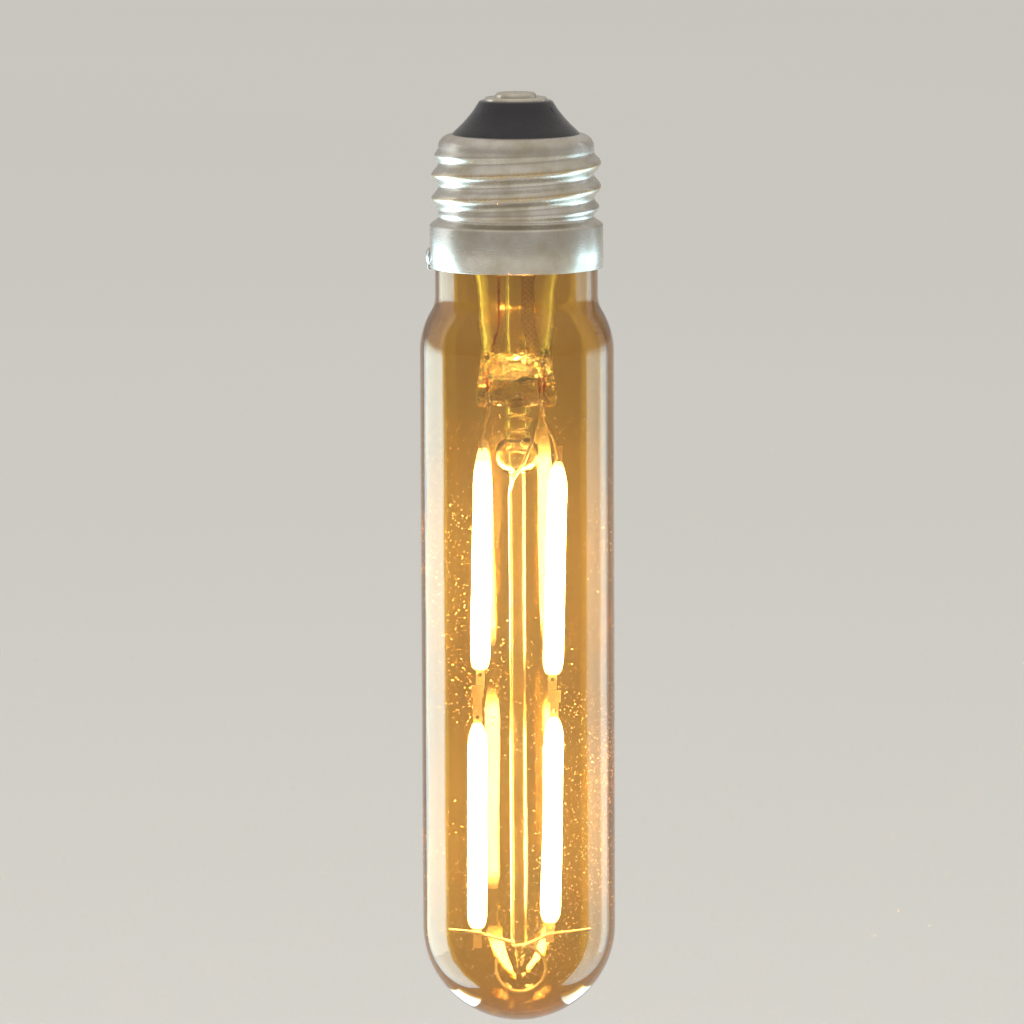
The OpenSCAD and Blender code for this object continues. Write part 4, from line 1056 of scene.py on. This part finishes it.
def rod():
    """Long rod: a thin neck up to the top of the ball, a dimpled shoulder, the straight
    length, and a tip drawn out in the flame."""
    r, top_z, low_z = high("post_rod").x, high("post_rod").z, low("post_rod").z
    tip_r, tip_root_r, neck_r, bead_r = 0.32, 0.62, 0.62, 0.15
    foot_r, shoulder_r, waver_depth, pinch = 0.35, 0.5, 0.03, 0.07
    roof_z = high("post_ball").z - BALL_WALL
    outline = [(0, low_z)] + arc((0, low_z + tip_r), tip_r, -60, 0, 4)
    outline += [(mix(tip_r, tip_root_r, i / 5), mix(low_z + tip_r, ROD_END_Z - bead_r, i / 5))
                for i in range(1, 6)]
    outline += arc((tip_root_r + bead_r, ROD_END_Z - bead_r), bead_r, 180, 90, 4)[1:]
    outline += arc((r - foot_r, ROD_END_Z + foot_r), foot_r, -80, 0, 6)
    rows = 90
    for i in range(1, rows + 1):
        uneven = waver_depth * noise.noise(Vector((0, 0, mix(ROD_END_Z, top_z, i / rows) / 5)))
        z = mix(ROD_END_Z + foot_r, top_z - shoulder_r, i / rows)
        outline.append((r + uneven, z))
    outline += arc((r - shoulder_r, top_z - shoulder_r), shoulder_r, 10, 90, 8)
    outline += [(neck_r + 0.08, top_z - 0.18), (neck_r, top_z + 0.1)]
    outline += [(neck_r - pinch * math.sin(math.pi * i / 8), mix(top_z + 0.1, roof_z, i / 8))
                for i in range(1, 9)]
    outline += [(0, roof_z)]
    seat(lathe("post_stick", outline, 48, CANE_GLASS, sharp=60), "post_glass", "post_rod")


# Wires

def wire(name, route, bend, node, material=NICKEL_WIRE, slot="nickel_wire"):
    """A wire along a route of points in millimetres, with its corners bent to a radius."""
    mesh = bpy.data.meshes.new(name)
    mesh.from_pydata(
        [Vector(p) * MM for p in route], [(i, i + 1) for i in range(len(route) - 1)], [])
    piece = in_scene(name, mesh)
    settle(piece, WIRE_TREE, Wire_Radius=WIRE_R * MM, Bend_Radius=bend * MM, Sides=16,
           Finish=material)
    seat(piece, slot, node)


def on_filament(name, along):
    """A point on a filament's own axis, at a distance up from its middle."""
    lean = math.radians(LEANS[name])
    return middle("phosphor_" + name) + Vector((math.sin(lean), 0, math.cos(lean))) * along


def on_tab(name, along):
    """The middle of a wire that lies on the front of a filament's tab."""
    return on_filament(name, along) - Vector((0, TAB_T / 2 + WIRE_R + FIT, 0))


def seal(side):
    """The lower end of a seal wire, in the press."""
    where = middle("seal_wire_" + side)
    return where.x, where.y, low("seal_wire_" + side).z


def seals():
    for side in ("left", "right", "return"):
        x, y, z = seal(side)
        route = [(x, y, z), (x, y, high("seal_wire_" + side).z)]
        wire("seal_" + side, route, 0.1, "seal_wire_" + side, DUMET, "seal_copper")


def inner_wires():
    """Down from the press, and bent on to the upper tab of each upper filament. The numbers
    are how far a wire hangs straight, where it bends past the tab's end and aside of it,
    where it ends on the tab, and its bends."""
    tab_end = JACKET_LEN / 2 + TAB_LEN
    for side, straight, past, aside, foot, bend in (
            ("left", 0.8, -0.2, -0.3, 0.8, 1.2), ("right", 2, 1.2, -0.9, 1.2, 1.4)):
        x, y, z = seal(side)
        filament = "upper_" + side
        wire("lead_in_" + side, [
            (x, y, z), (x, y, PRESS_Z - straight),
            on_tab(filament, tab_end + past) + Vector((aside, 0, 0)),
            on_tab(filament, JACKET_LEN / 2 + foot),
        ], bend, "inner_lead_" + side)


def return_route():
    """Down from the press, in front of the ball and along the rod."""
    x, y, z = seal("return")
    ball_w, ball_top = 2 * high("post_ball").x, high("post_ball").z
    ball_low, ball_mid = low("post_ball").z, middle("post_ball").z
    clear = ball_w / 2 + WIRE_R + FIT + 0.35
    lie = -(high("post_rod").x + WIRE_R + FIT) / math.sqrt(2)
    return [
        (x, y, z), (x, y, PRESS_Z - 0.8), (0.3 * ball_w, -clear, ball_top - 0.6),
        (0.16 * ball_w, -clear - 0.1, ball_mid - 0.4),
        (-0.1 * ball_w, -clear * 0.72, ball_low - 0.6),
        (lie, lie, ball_low - 2.4), (lie, lie, low("return_wire").z),
    ]


def loop_route():
    """From the foot of the return wire across the rod and round below its tip, sinking back
    from the front of the rod to the middle plane."""
    lie_x, lie_y, end_z = return_route()[-1]
    radius, loop_x, loop_y = 3.9, 0.2, -(high("post_rod").x + WIRE_R + FIT) - 0.1
    start, sweep, sinking, steps = 84, 288, 150, 48
    route = [(lie_x, lie_y, end_z), (lie_x, lie_y, end_z - 0.3), (-0.3, loop_y, ROD_END_Z + 0.62)]
    ring = arc((loop_x, ROD_END_Z + 0.7 - radius), radius, start, start - sweep, steps)
    for i, (x, z) in enumerate(ring):
        back = smooth(sweep * i / steps / sinking)
        route.append((x, loop_y * (1 - back), z))
    return route


def cross_wire(side, start, reach, below):
    """A straight wire from the foot of the post over a lower tab and out to the glass."""
    tab = on_tab("lower_" + side, -JACKET_LEN / 2 - below)
    run = math.copysign(reach - abs(tab.x), tab.x)
    end = tab + Vector((run, -0.15, 0.12 * abs(run)))
    wire("cross_wire_" + side, [start, tab, end], 2, "support_wire_" + side)


def bottom_wires():
    along_rod, loop = return_route(), loop_route()
    wire("post_wire", along_rod, 1.6, "return_wire")
    wire("foot_loop", loop, 0.4, "wire_loop")
    lie_x, lie_y, _ = along_rod[-1]
    start = Vector((lie_x + 0.2, lie_y - 2 * WIRE_R - FIT, ROD_END_Z + 1.15))
    cross_wire("left", start, 11.1, 0.7)
    start = Vector(loop[3]) - Vector((0, 2 * WIRE_R + 3 * FIT, 0))
    cross_wire("right", start, 11.15, 1.9)


# Filaments

def jacket_end(tip_r, taper, slimness):
    """Half outline of a jacket's end, from its tip to where it reaches full width."""
    end, steps = [(0, 0), (tip_r * 0.9, 0)], 12
    for i in range(1, steps + 1):
        turn = math.radians(90 * i / steps)
        end.append((mix(tip_r, JACKET_R, math.sin(turn) ** slimness), taper * (math.cos(turn) - 1)))
    return end


def jacket(name):
    """Phosphor jacket: a round bar, drawn out to a slim neck above, where the silicone was
    pulled off, and blunt below. Its map runs from 0 to 1 along it."""
    sides, half, creep = 40, JACKET_LEN / 2, CREEP[name]
    above = [(r, half + creep + z) for r, z in jacket_end(0.5, 4.2 + creep, 1.4)]
    below = [(r, -half - z) for r, z in jacket_end(0.85, 2.4, 1)[::-1]]
    body = [(JACKET_R, mix(above[-1][1], below[0][1], i / 24)) for i in range(1, 24)]
    lean = Matrix.Rotation(math.radians(LEANS[name]), 4, "Y")
    centre = middle("phosphor_" + name)
    rings = []
    for radius, z in above + body + below:
        rings.append([])
        for a in ring_angles(radius, sides):
            # The silicone is dosed by hand, so the bar is a little uneven
            spot = Vector((math.cos(a), math.sin(a), z / 3)) + centre
            r = radius * (1 + 0.025 * noise.noise(spot))
            rings[-1].append(Vector((r * math.cos(a), r * math.sin(a), z)))
    points, faces = skin(rings)
    placed = [centre + lean @ p for p in points]
    piece = new_piece("jacket_" + name, placed, faces, PHOSPHOR, sharp=None)
    along = piece.data.uv_layers.new(name="along")
    for face in piece.data.polygons:
        for loop in face.loop_indices:
            local = points[piece.data.loops[loop].vertex_index]
            turn = (math.atan2(local.y, local.x) / (2 * math.pi)) % 1
            along.data[loop].uv = (turn, local.z / JACKET_LEN + 0.5)
    seat(piece, "phosphor", "phosphor_" + name)


def filaments():
    for name in LEANS:
        jacket(name)
        dress("strip_" + name, CERAMIC)
        dress("chips_" + name, CHIP)
        dress("tabs_" + name, TAB)


# Cap

def shell_outline(inset, thread_rows):
    """Crown, thread zone, step and skirt of the cap's shell, moved in by inset."""
    crown_w = THREAD_ROOT_R - SHELL_HOLE_R - inset
    crown = arc((SHELL_HOLE_R, CROWN_FOOT_Z), crown_w, 90, 9, 9, CROWN_H - inset)
    zone = [(THREAD_ROOT_R - inset, mix(CROWN_FOOT_Z, THREAD_END_Z, i / thread_rows))
            for i in range(thread_rows + 1)]
    step_h, steps = 1.3, 8
    step = [(mix(THREAD_ROOT_R, SKIRT_R, smooth(i / steps)) - inset,
             THREAD_END_Z - step_h * i / steps) for i in range(1, steps + 1)]
    skirt = [(SKIRT_R - inset, SKIRT_Z + 3), (SKIRT_R - inset, SKIRT_Z + 0.1)]
    return crown + zone + step + skirt


def cap_shell():
    """Thin shell with its crown, rolled thread and skirt."""
    rows_a_turn, edge = 26, 0.08
    rows = round((CROWN_FOOT_Z - THREAD_END_Z) / THREAD_PITCH * rows_a_turn)
    lip = [(SKIRT_R - edge, SKIRT_Z), (SKIRT_R - CAP_WALL + edge, SKIRT_Z)]
    outline = shell_outline(0, rows) + lip + shell_outline(CAP_WALL, rows)[::-1]
    piece = lathe("cap_thread", outline, 144, CAP_NICKEL, sharp=60)
    settle(piece, THREAD_TREE, Top=CROWN_FOOT_Z * MM, End=THREAD_END_Z * MM,
           Run_Out=THREAD_RUN_OUT * MM, Depth=THREAD_DEPTH * MM, Pitch=THREAD_PITCH * MM,
           Finish=CAP_NICKEL)
    seat(piece, "cap_nickel", "cap_shell")


def cap_insulator():
    """Black glass button: a low cone from the shell's crown to the contact plate."""
    top_z, low_z = high("cap_insulator").z, low("cap_insulator").z
    plate_r = high("contact_plate").x
    slot_r = SHANK_R + 0.4 + 2 * FIT
    edge_r, inner = SHELL_HOLE_R - FIT, CAP_WALL + FIT
    brow_r, sag, steps = 0.7, 0.25, 6
    outline = [(slot_r, top_z), (plate_r + 0.3, top_z)]
    outline += arc((plate_r + 0.3, top_z - brow_r), brow_r, 90, 40, 6)[1:]
    for i in range(1, steps + 1):
        t = i / steps
        z = mix(top_z - 0.6, SHELL_TOP_Z + 0.42, t) - sag * math.sin(math.pi * t)
        outline.append((mix(plate_r + 0.95, edge_r - 0.35, t), z))
    outline += [(edge_r, SHELL_TOP_Z)]
    crown_w = THREAD_ROOT_R - SHELL_HOLE_R - inner
    outline += arc((edge_r, CROWN_FOOT_Z), crown_w, 81, 0, 9, CROWN_H - inner)
    outline += [(THREAD_ROOT_R - inner - FIT, low_z), (slot_r + 1.5, low_z), (slot_r, low_z + 1)]
    seat(lathe("cap_button", outline, 96, CAP_GLASS), "black_glass", "cap_insulator")


def contact():
    """Contact plate with its turned-down edge, and the rivet's head on it, with a shallow
    dish in its top."""
    plate_r, plate_z = high("contact_plate").x, high("contact_plate").z
    hole_r, edge_r, low_z = SHANK_R + FIT, 0.45, low("contact_plate").z
    plate = [(hole_r, low_z), (plate_r, low_z)]
    plate += arc((plate_r - edge_r, plate_z - edge_r), edge_r, 0, 90, 8)
    plate += [(plate_r - 1.2, plate_z - 0.04), (plate_r - 1.6, plate_z), (hole_r, plate_z)]
    seat(lathe("contact_disc", plate, 96, CONTACT), "contact_metal", "contact_plate")
    head_r, shank_z, rounding = high("contact_rivet").x, low("contact_rivet").z, 0.56
    head = [(0, shank_z), (SHANK_R, shank_z), (SHANK_R, plate_z), (head_r, plate_z)]
    head += arc((head_r - rounding, plate_z), rounding, 10, 90, 8, -plate_z)
    head += [(1.1, 0), (0.7, -0.05), (0, -0.08)]
    seat(lathe("contact_rivet_head", head, 80, CONTACT, sharp=60), "contact_metal", "contact_rivet")


def leads_and_driver():
    for side in ("left", "right", "return"):
        refined("outer_lead_" + side, "copper_lead_" + side, COPPER_WIRE, "copper")
    refined("lead_sleeve", "fibre_sleeve", SLEEVE, "sleeve")
    refined("side_wire", "cap_side_wire", TINNED_WIRE, "tinned_wire")
    refined("centre_wire", "contact_wire", COPPER_WIRE, "copper")
    refined("side_solder", "cap_solder", SOLDER, "solder")
    refined("cap_cement", "cement_ring", CEMENT, "cement", levels=0, sharp=30)
    refined("capacitor", "can", CAN_SLEEVE, "capacitor_can", levels=0, sharp=30)
    refined("fuse_resistor", "fuse", RESISTOR, "resistor_body", levels=0, sharp=30)
    dress("driver_board", BOARD)
    dress("board_solder", SOLDER)
    for node in ("rectifier", "driver_chip", "chip_resistors"):
        dress(node, BLACK_RESIN)


glass_dust(bulb_glass())
stem()
exhaust()
post()
ball()
rod()
seals()
inner_wires()
bottom_wires()
filaments()
cap_shell()
cap_insulator()
contact()
leads_and_driver()


# Stage: a pale floor below the hanging lamp, soft lamps, and white cards for the highlights

FLOOR_Z = APEX_Z - 80
STUDIO_LEVEL = 0.72
CARD_Z = FLOOR_Z + 1
CARD_TOP_Z = 120
CARD_REACH = 240
# Beside the glass the cards are cool against its amber, and beside the cap they are dim
COOL = linear("#C4E6F5")
DIM = (0.16, 0.165, 0.17, 1)
COOL_TOP_Z = -62
DIM_FOOT_Z = -30


def staged(name, mesh):
    """A piece of the studio, which isn't part of the lamp."""
    obj = in_scene(name, mesh)
    return obj


def floor():
    material, tree, shader = new_finish(
        "matt pale studio floor", Roughness=0.9, Specular_IOR_Level=0.0)
    where = add(tree, "ShaderNodeTexCoord").outputs["Object"]
    wear = add(tree, "ShaderNodeTexNoise", {"Vector": where, "Scale": blotches(900)})
    tint = add(tree, "ShaderNodeMix", {
        "Factor": wear.outputs["Fac"], FIRST: linear("#E2DFD9"), OTHER: linear("#E6E4DF")},
        data_type="RGBA")
    drive(tree, shader, Base_Color=tint.outputs[MIXED])
    reach, sides = 12, 64
    edge = [(reach * math.cos(a), reach * math.sin(a), FLOOR_Z * MM)
            for a in ring_angles(reach, sides)]
    mesh = bpy.data.meshes.new("floor")
    mesh.from_pydata(edge, [], [range(sides)])
    mesh.materials.append(material)
    staged("floor", mesh)


def world():
    """Pale light from all round, a little stronger from above and behind, and a plain
    pale backdrop for what looks past the floor."""
    surroundings = bpy.data.worlds.new("studio")
    bpy.context.scene.world = surroundings
    surroundings.use_nodes = True
    tree = surroundings.node_tree
    tree.nodes.clear()
    where = add(tree, "ShaderNodeTexCoord")
    part = add(tree, "ShaderNodeSeparateXYZ", {"Vector": where.outputs["Generated"]})
    above = add(tree, "ShaderNodeMath", {
        0: part.outputs["Z"], 1: 0.12, 2: STUDIO_LEVEL}, operation="MULTIPLY_ADD")
    level = add(tree, "ShaderNodeMath", {
        0: part.outputs["Y"], 1: 0.05, 2: above.outputs[0]}, operation="MULTIPLY_ADD")
    air = add(tree, "ShaderNodeBackground", {
        "Color": linear("#F7F6F3"), "Strength": level.outputs[0]})
    # Metal and glass mirror the backdrop too, darker at eye level so that they show their form
    path = add(tree, "ShaderNodeLightPath")
    slope = add(tree, "ShaderNodeMath", {
        0: part.outputs["Z"], 1: 0.7, 2: -0.25}, operation="MULTIPLY_ADD")
    shaded = add(tree, "ShaderNodeMath", {
        0: slope.outputs[0], 1: path.outputs["Is Glossy Ray"], 2: 1.0}, operation="MULTIPLY_ADD")
    backdrop = add(tree, "ShaderNodeBackground", {
        "Color": linear("#C6C3BE"), "Strength": shaded.outputs[0]})
    through = add(tree, "ShaderNodeMath", {
        0: path.outputs["Is Camera Ray"], 1: path.outputs["Is Transmission Ray"]},
        operation="MAXIMUM")
    seen = add(tree, "ShaderNodeMath", {
        0: through.outputs[0], 1: path.outputs["Is Glossy Ray"]}, operation="MAXIMUM")
    both = add(tree, "ShaderNodeMixShader", {
        0: seen.outputs[0], 1: air.outputs[0], 2: backdrop.outputs[0]})
    add(tree, "ShaderNodeOutputWorld", {"Surface": both.outputs[0]})


def soft_lamp(name, place, size, power):
    """A square lamp that faces the middle of the bulb. Its place and size are in metres."""
    data = bpy.data.lights.new(name, "AREA")
    data.shape, data.size, data.energy = "SQUARE", size, power
    lamp = in_scene(name, data)
    lamp.location = place
    lamp.visible_camera = lamp.visible_transmission = lamp.visible_glossy = False
    sight = Vector((0, 0, -0.07)) - lamp.location
    lamp.rotation_euler = sight.to_track_quat("-Z", "Y").to_euler()


def card_light():
    """White card, seen only by way of a mirror reflection, also one inside the bulb. Its
    light at each point is the mesh's own attribute."""
    material = bpy.data.materials.new("soft white card")
    material.use_nodes = True
    tree = material.node_tree
    tree.nodes.clear()
    light = add(tree, "ShaderNodeAttribute", attribute_name="light")
    glow = add(tree, "ShaderNodeEmission", {"Color": light.outputs["Color"], "Strength": 1.0})
    path = add(tree, "ShaderNodeLightPath")
    mirrored = add(tree, "ShaderNodeMath", {
        0: path.outputs["Glossy Depth"], 1: 1.0}, operation="MINIMUM")
    clear = add(tree, "ShaderNodeBsdfTransparent")
    shown = add(tree, "ShaderNodeMixShader", {
        0: mirrored.outputs[0], 1: clear.outputs[0], 2: glow.outputs[0]})
    add(tree, "ShaderNodeOutputMaterial", {"Surface": shown.outputs[0]})
    material.cycles.emission_sampling = "NONE"
    return material


def soft_card(name, points, faces, lights):
    """A card from points in millimetres, with a light at each. It draws highlights on the
    glass."""
    mesh = bpy.data.meshes.new(name)
    mesh.from_pydata([Vector(p) * MM for p in points], [], faces)
    mesh.materials.append(CARD_LIGHT)
    colours = [x for rgba in lights for x in rgba]
    mesh.attributes.new("light", "FLOAT_COLOR", "POINT").data.foreach_set("color", colours)
    card = staged(name, mesh)
    card.visible_camera = card.visible_diffuse = card.visible_shadow = False


def standing_card(side, near, far, *columns):
    """A tall card beside the lamp between two bearings in degrees from the camera. Each
    column gives a share of its width and the light level there. Beside the cap it is dim."""
    bearings = (math.radians(near), math.radians(far))
    edges = [Vector((math.sin(b), -math.cos(b), 0)) * CARD_REACH for b in bearings]
    rows = ((CARD_Z, COOL), (COOL_TOP_Z, COOL), (DIM_FOOT_Z, DIM), (CARD_TOP_Z, DIM))
    points, lights = [], []
    for z, tint in rows:
        for across, level in columns:
            points.append(edges[0].lerp(edges[1], across) + Vector((0, 0, z)))
            lights.append([level * x for x in tint])
    n = len(columns)
    faces = [(i, i + 1, i + n + 1, i + n)
             for row in range(len(rows) - 1) for i in range(n * row, n * row + n - 1)]
    soft_card(side + "_card", points, faces, lights)
    return edges


def floor_cards(side, edges, out, level):
    """Two cards on the floor. One runs in from the foot of the standing card and draws the
    tail of its highlight on the dome. The other lies behind the lamp and draws a bright
    patch low on the dome."""
    tail = [(edge.x, edge.y, CARD_Z) for edge in edges] + [(out * 56, -9, CARD_Z)]
    light = [level * x for x in COOL]
    soft_card(side + "_tail_card", tail, [(0, 1, 2)], [light, [0.4 * x for x in light], light])
    outline = ((58, 205), (72, 78), (44, 31), (41, 54), (37, 145))
    patch = [(out * x, y, CARD_Z) for x, y in outline]
    soft_card(side + "_patch_card", patch, [range(5)], [light] * 5)


def camera():
    data = bpy.data.cameras.new("view")
    data.sensor_width = 36
    data.lens = data.sensor_width * VIEW_DISTANCE * PIXELS_PER_MM / PICTURE
    data.clip_start, data.clip_end = 0.05, 50
    # The dome's lowest line lies one tube radius under the picture of the dome's centre
    centre_line = (APEX_PIXEL - PICTURE / 2) / PIXELS_PER_MM - TUBE_R
    aim_z = DOME_Z + centre_line / math.cos(VIEW_DOWN)
    aim_x = (PICTURE / 2 - AXIS_PIXEL) / PIXELS_PER_MM
    sight = Vector((0, math.cos(VIEW_DOWN), -math.sin(VIEW_DOWN)))
    roll = Matrix.Rotation(VIEW_ROLL, 3, sight)
    pitch = Matrix.Rotation(math.pi / 2 - VIEW_DOWN, 3, "X")
    eye = in_scene("view", data)
    eye.location = (Vector((aim_x, 0, aim_z)) - sight * VIEW_DISTANCE) * MM
    eye.rotation_euler = (roll @ pitch).to_euler()
    bpy.context.scene.camera = eye


floor()
world()
soft_lamp("key_lamp", (-0.7, -1.0, 0.7), 0.7, 6)
soft_lamp("fill_lamp", (0.9, -0.8, 0.4), 0.7, 3)
CARD_LIGHT = card_light()
left_edges = standing_card("left", -95, -143, (0, 3.8), (0.08, 9.6), (1, 3.1))
floor_cards("left", left_edges, -1, 7)
right_edges = standing_card(
    "right", 87.5, 135.5,
    (0, 1.8), (0.08, 4.5), (0.5, 2.8), (0.58, 5.5), (0.8, 4.5), (0.88, 1.8), (1, 1.6))
floor_cards("right", right_edges, 1.1, 5)
camera()

scene = bpy.context.scene
scene.view_settings.view_transform = "Standard"
# Light has to get through many faces of glass. The filaments are far brighter than the rest,
# and what they light keeps that strength.
scene.cycles.sample_clamp_indirect = 70
scene.cycles.max_bounces = 32
scene.cycles.transmission_bounces = 32
scene.cycles.glossy_bounces = 8
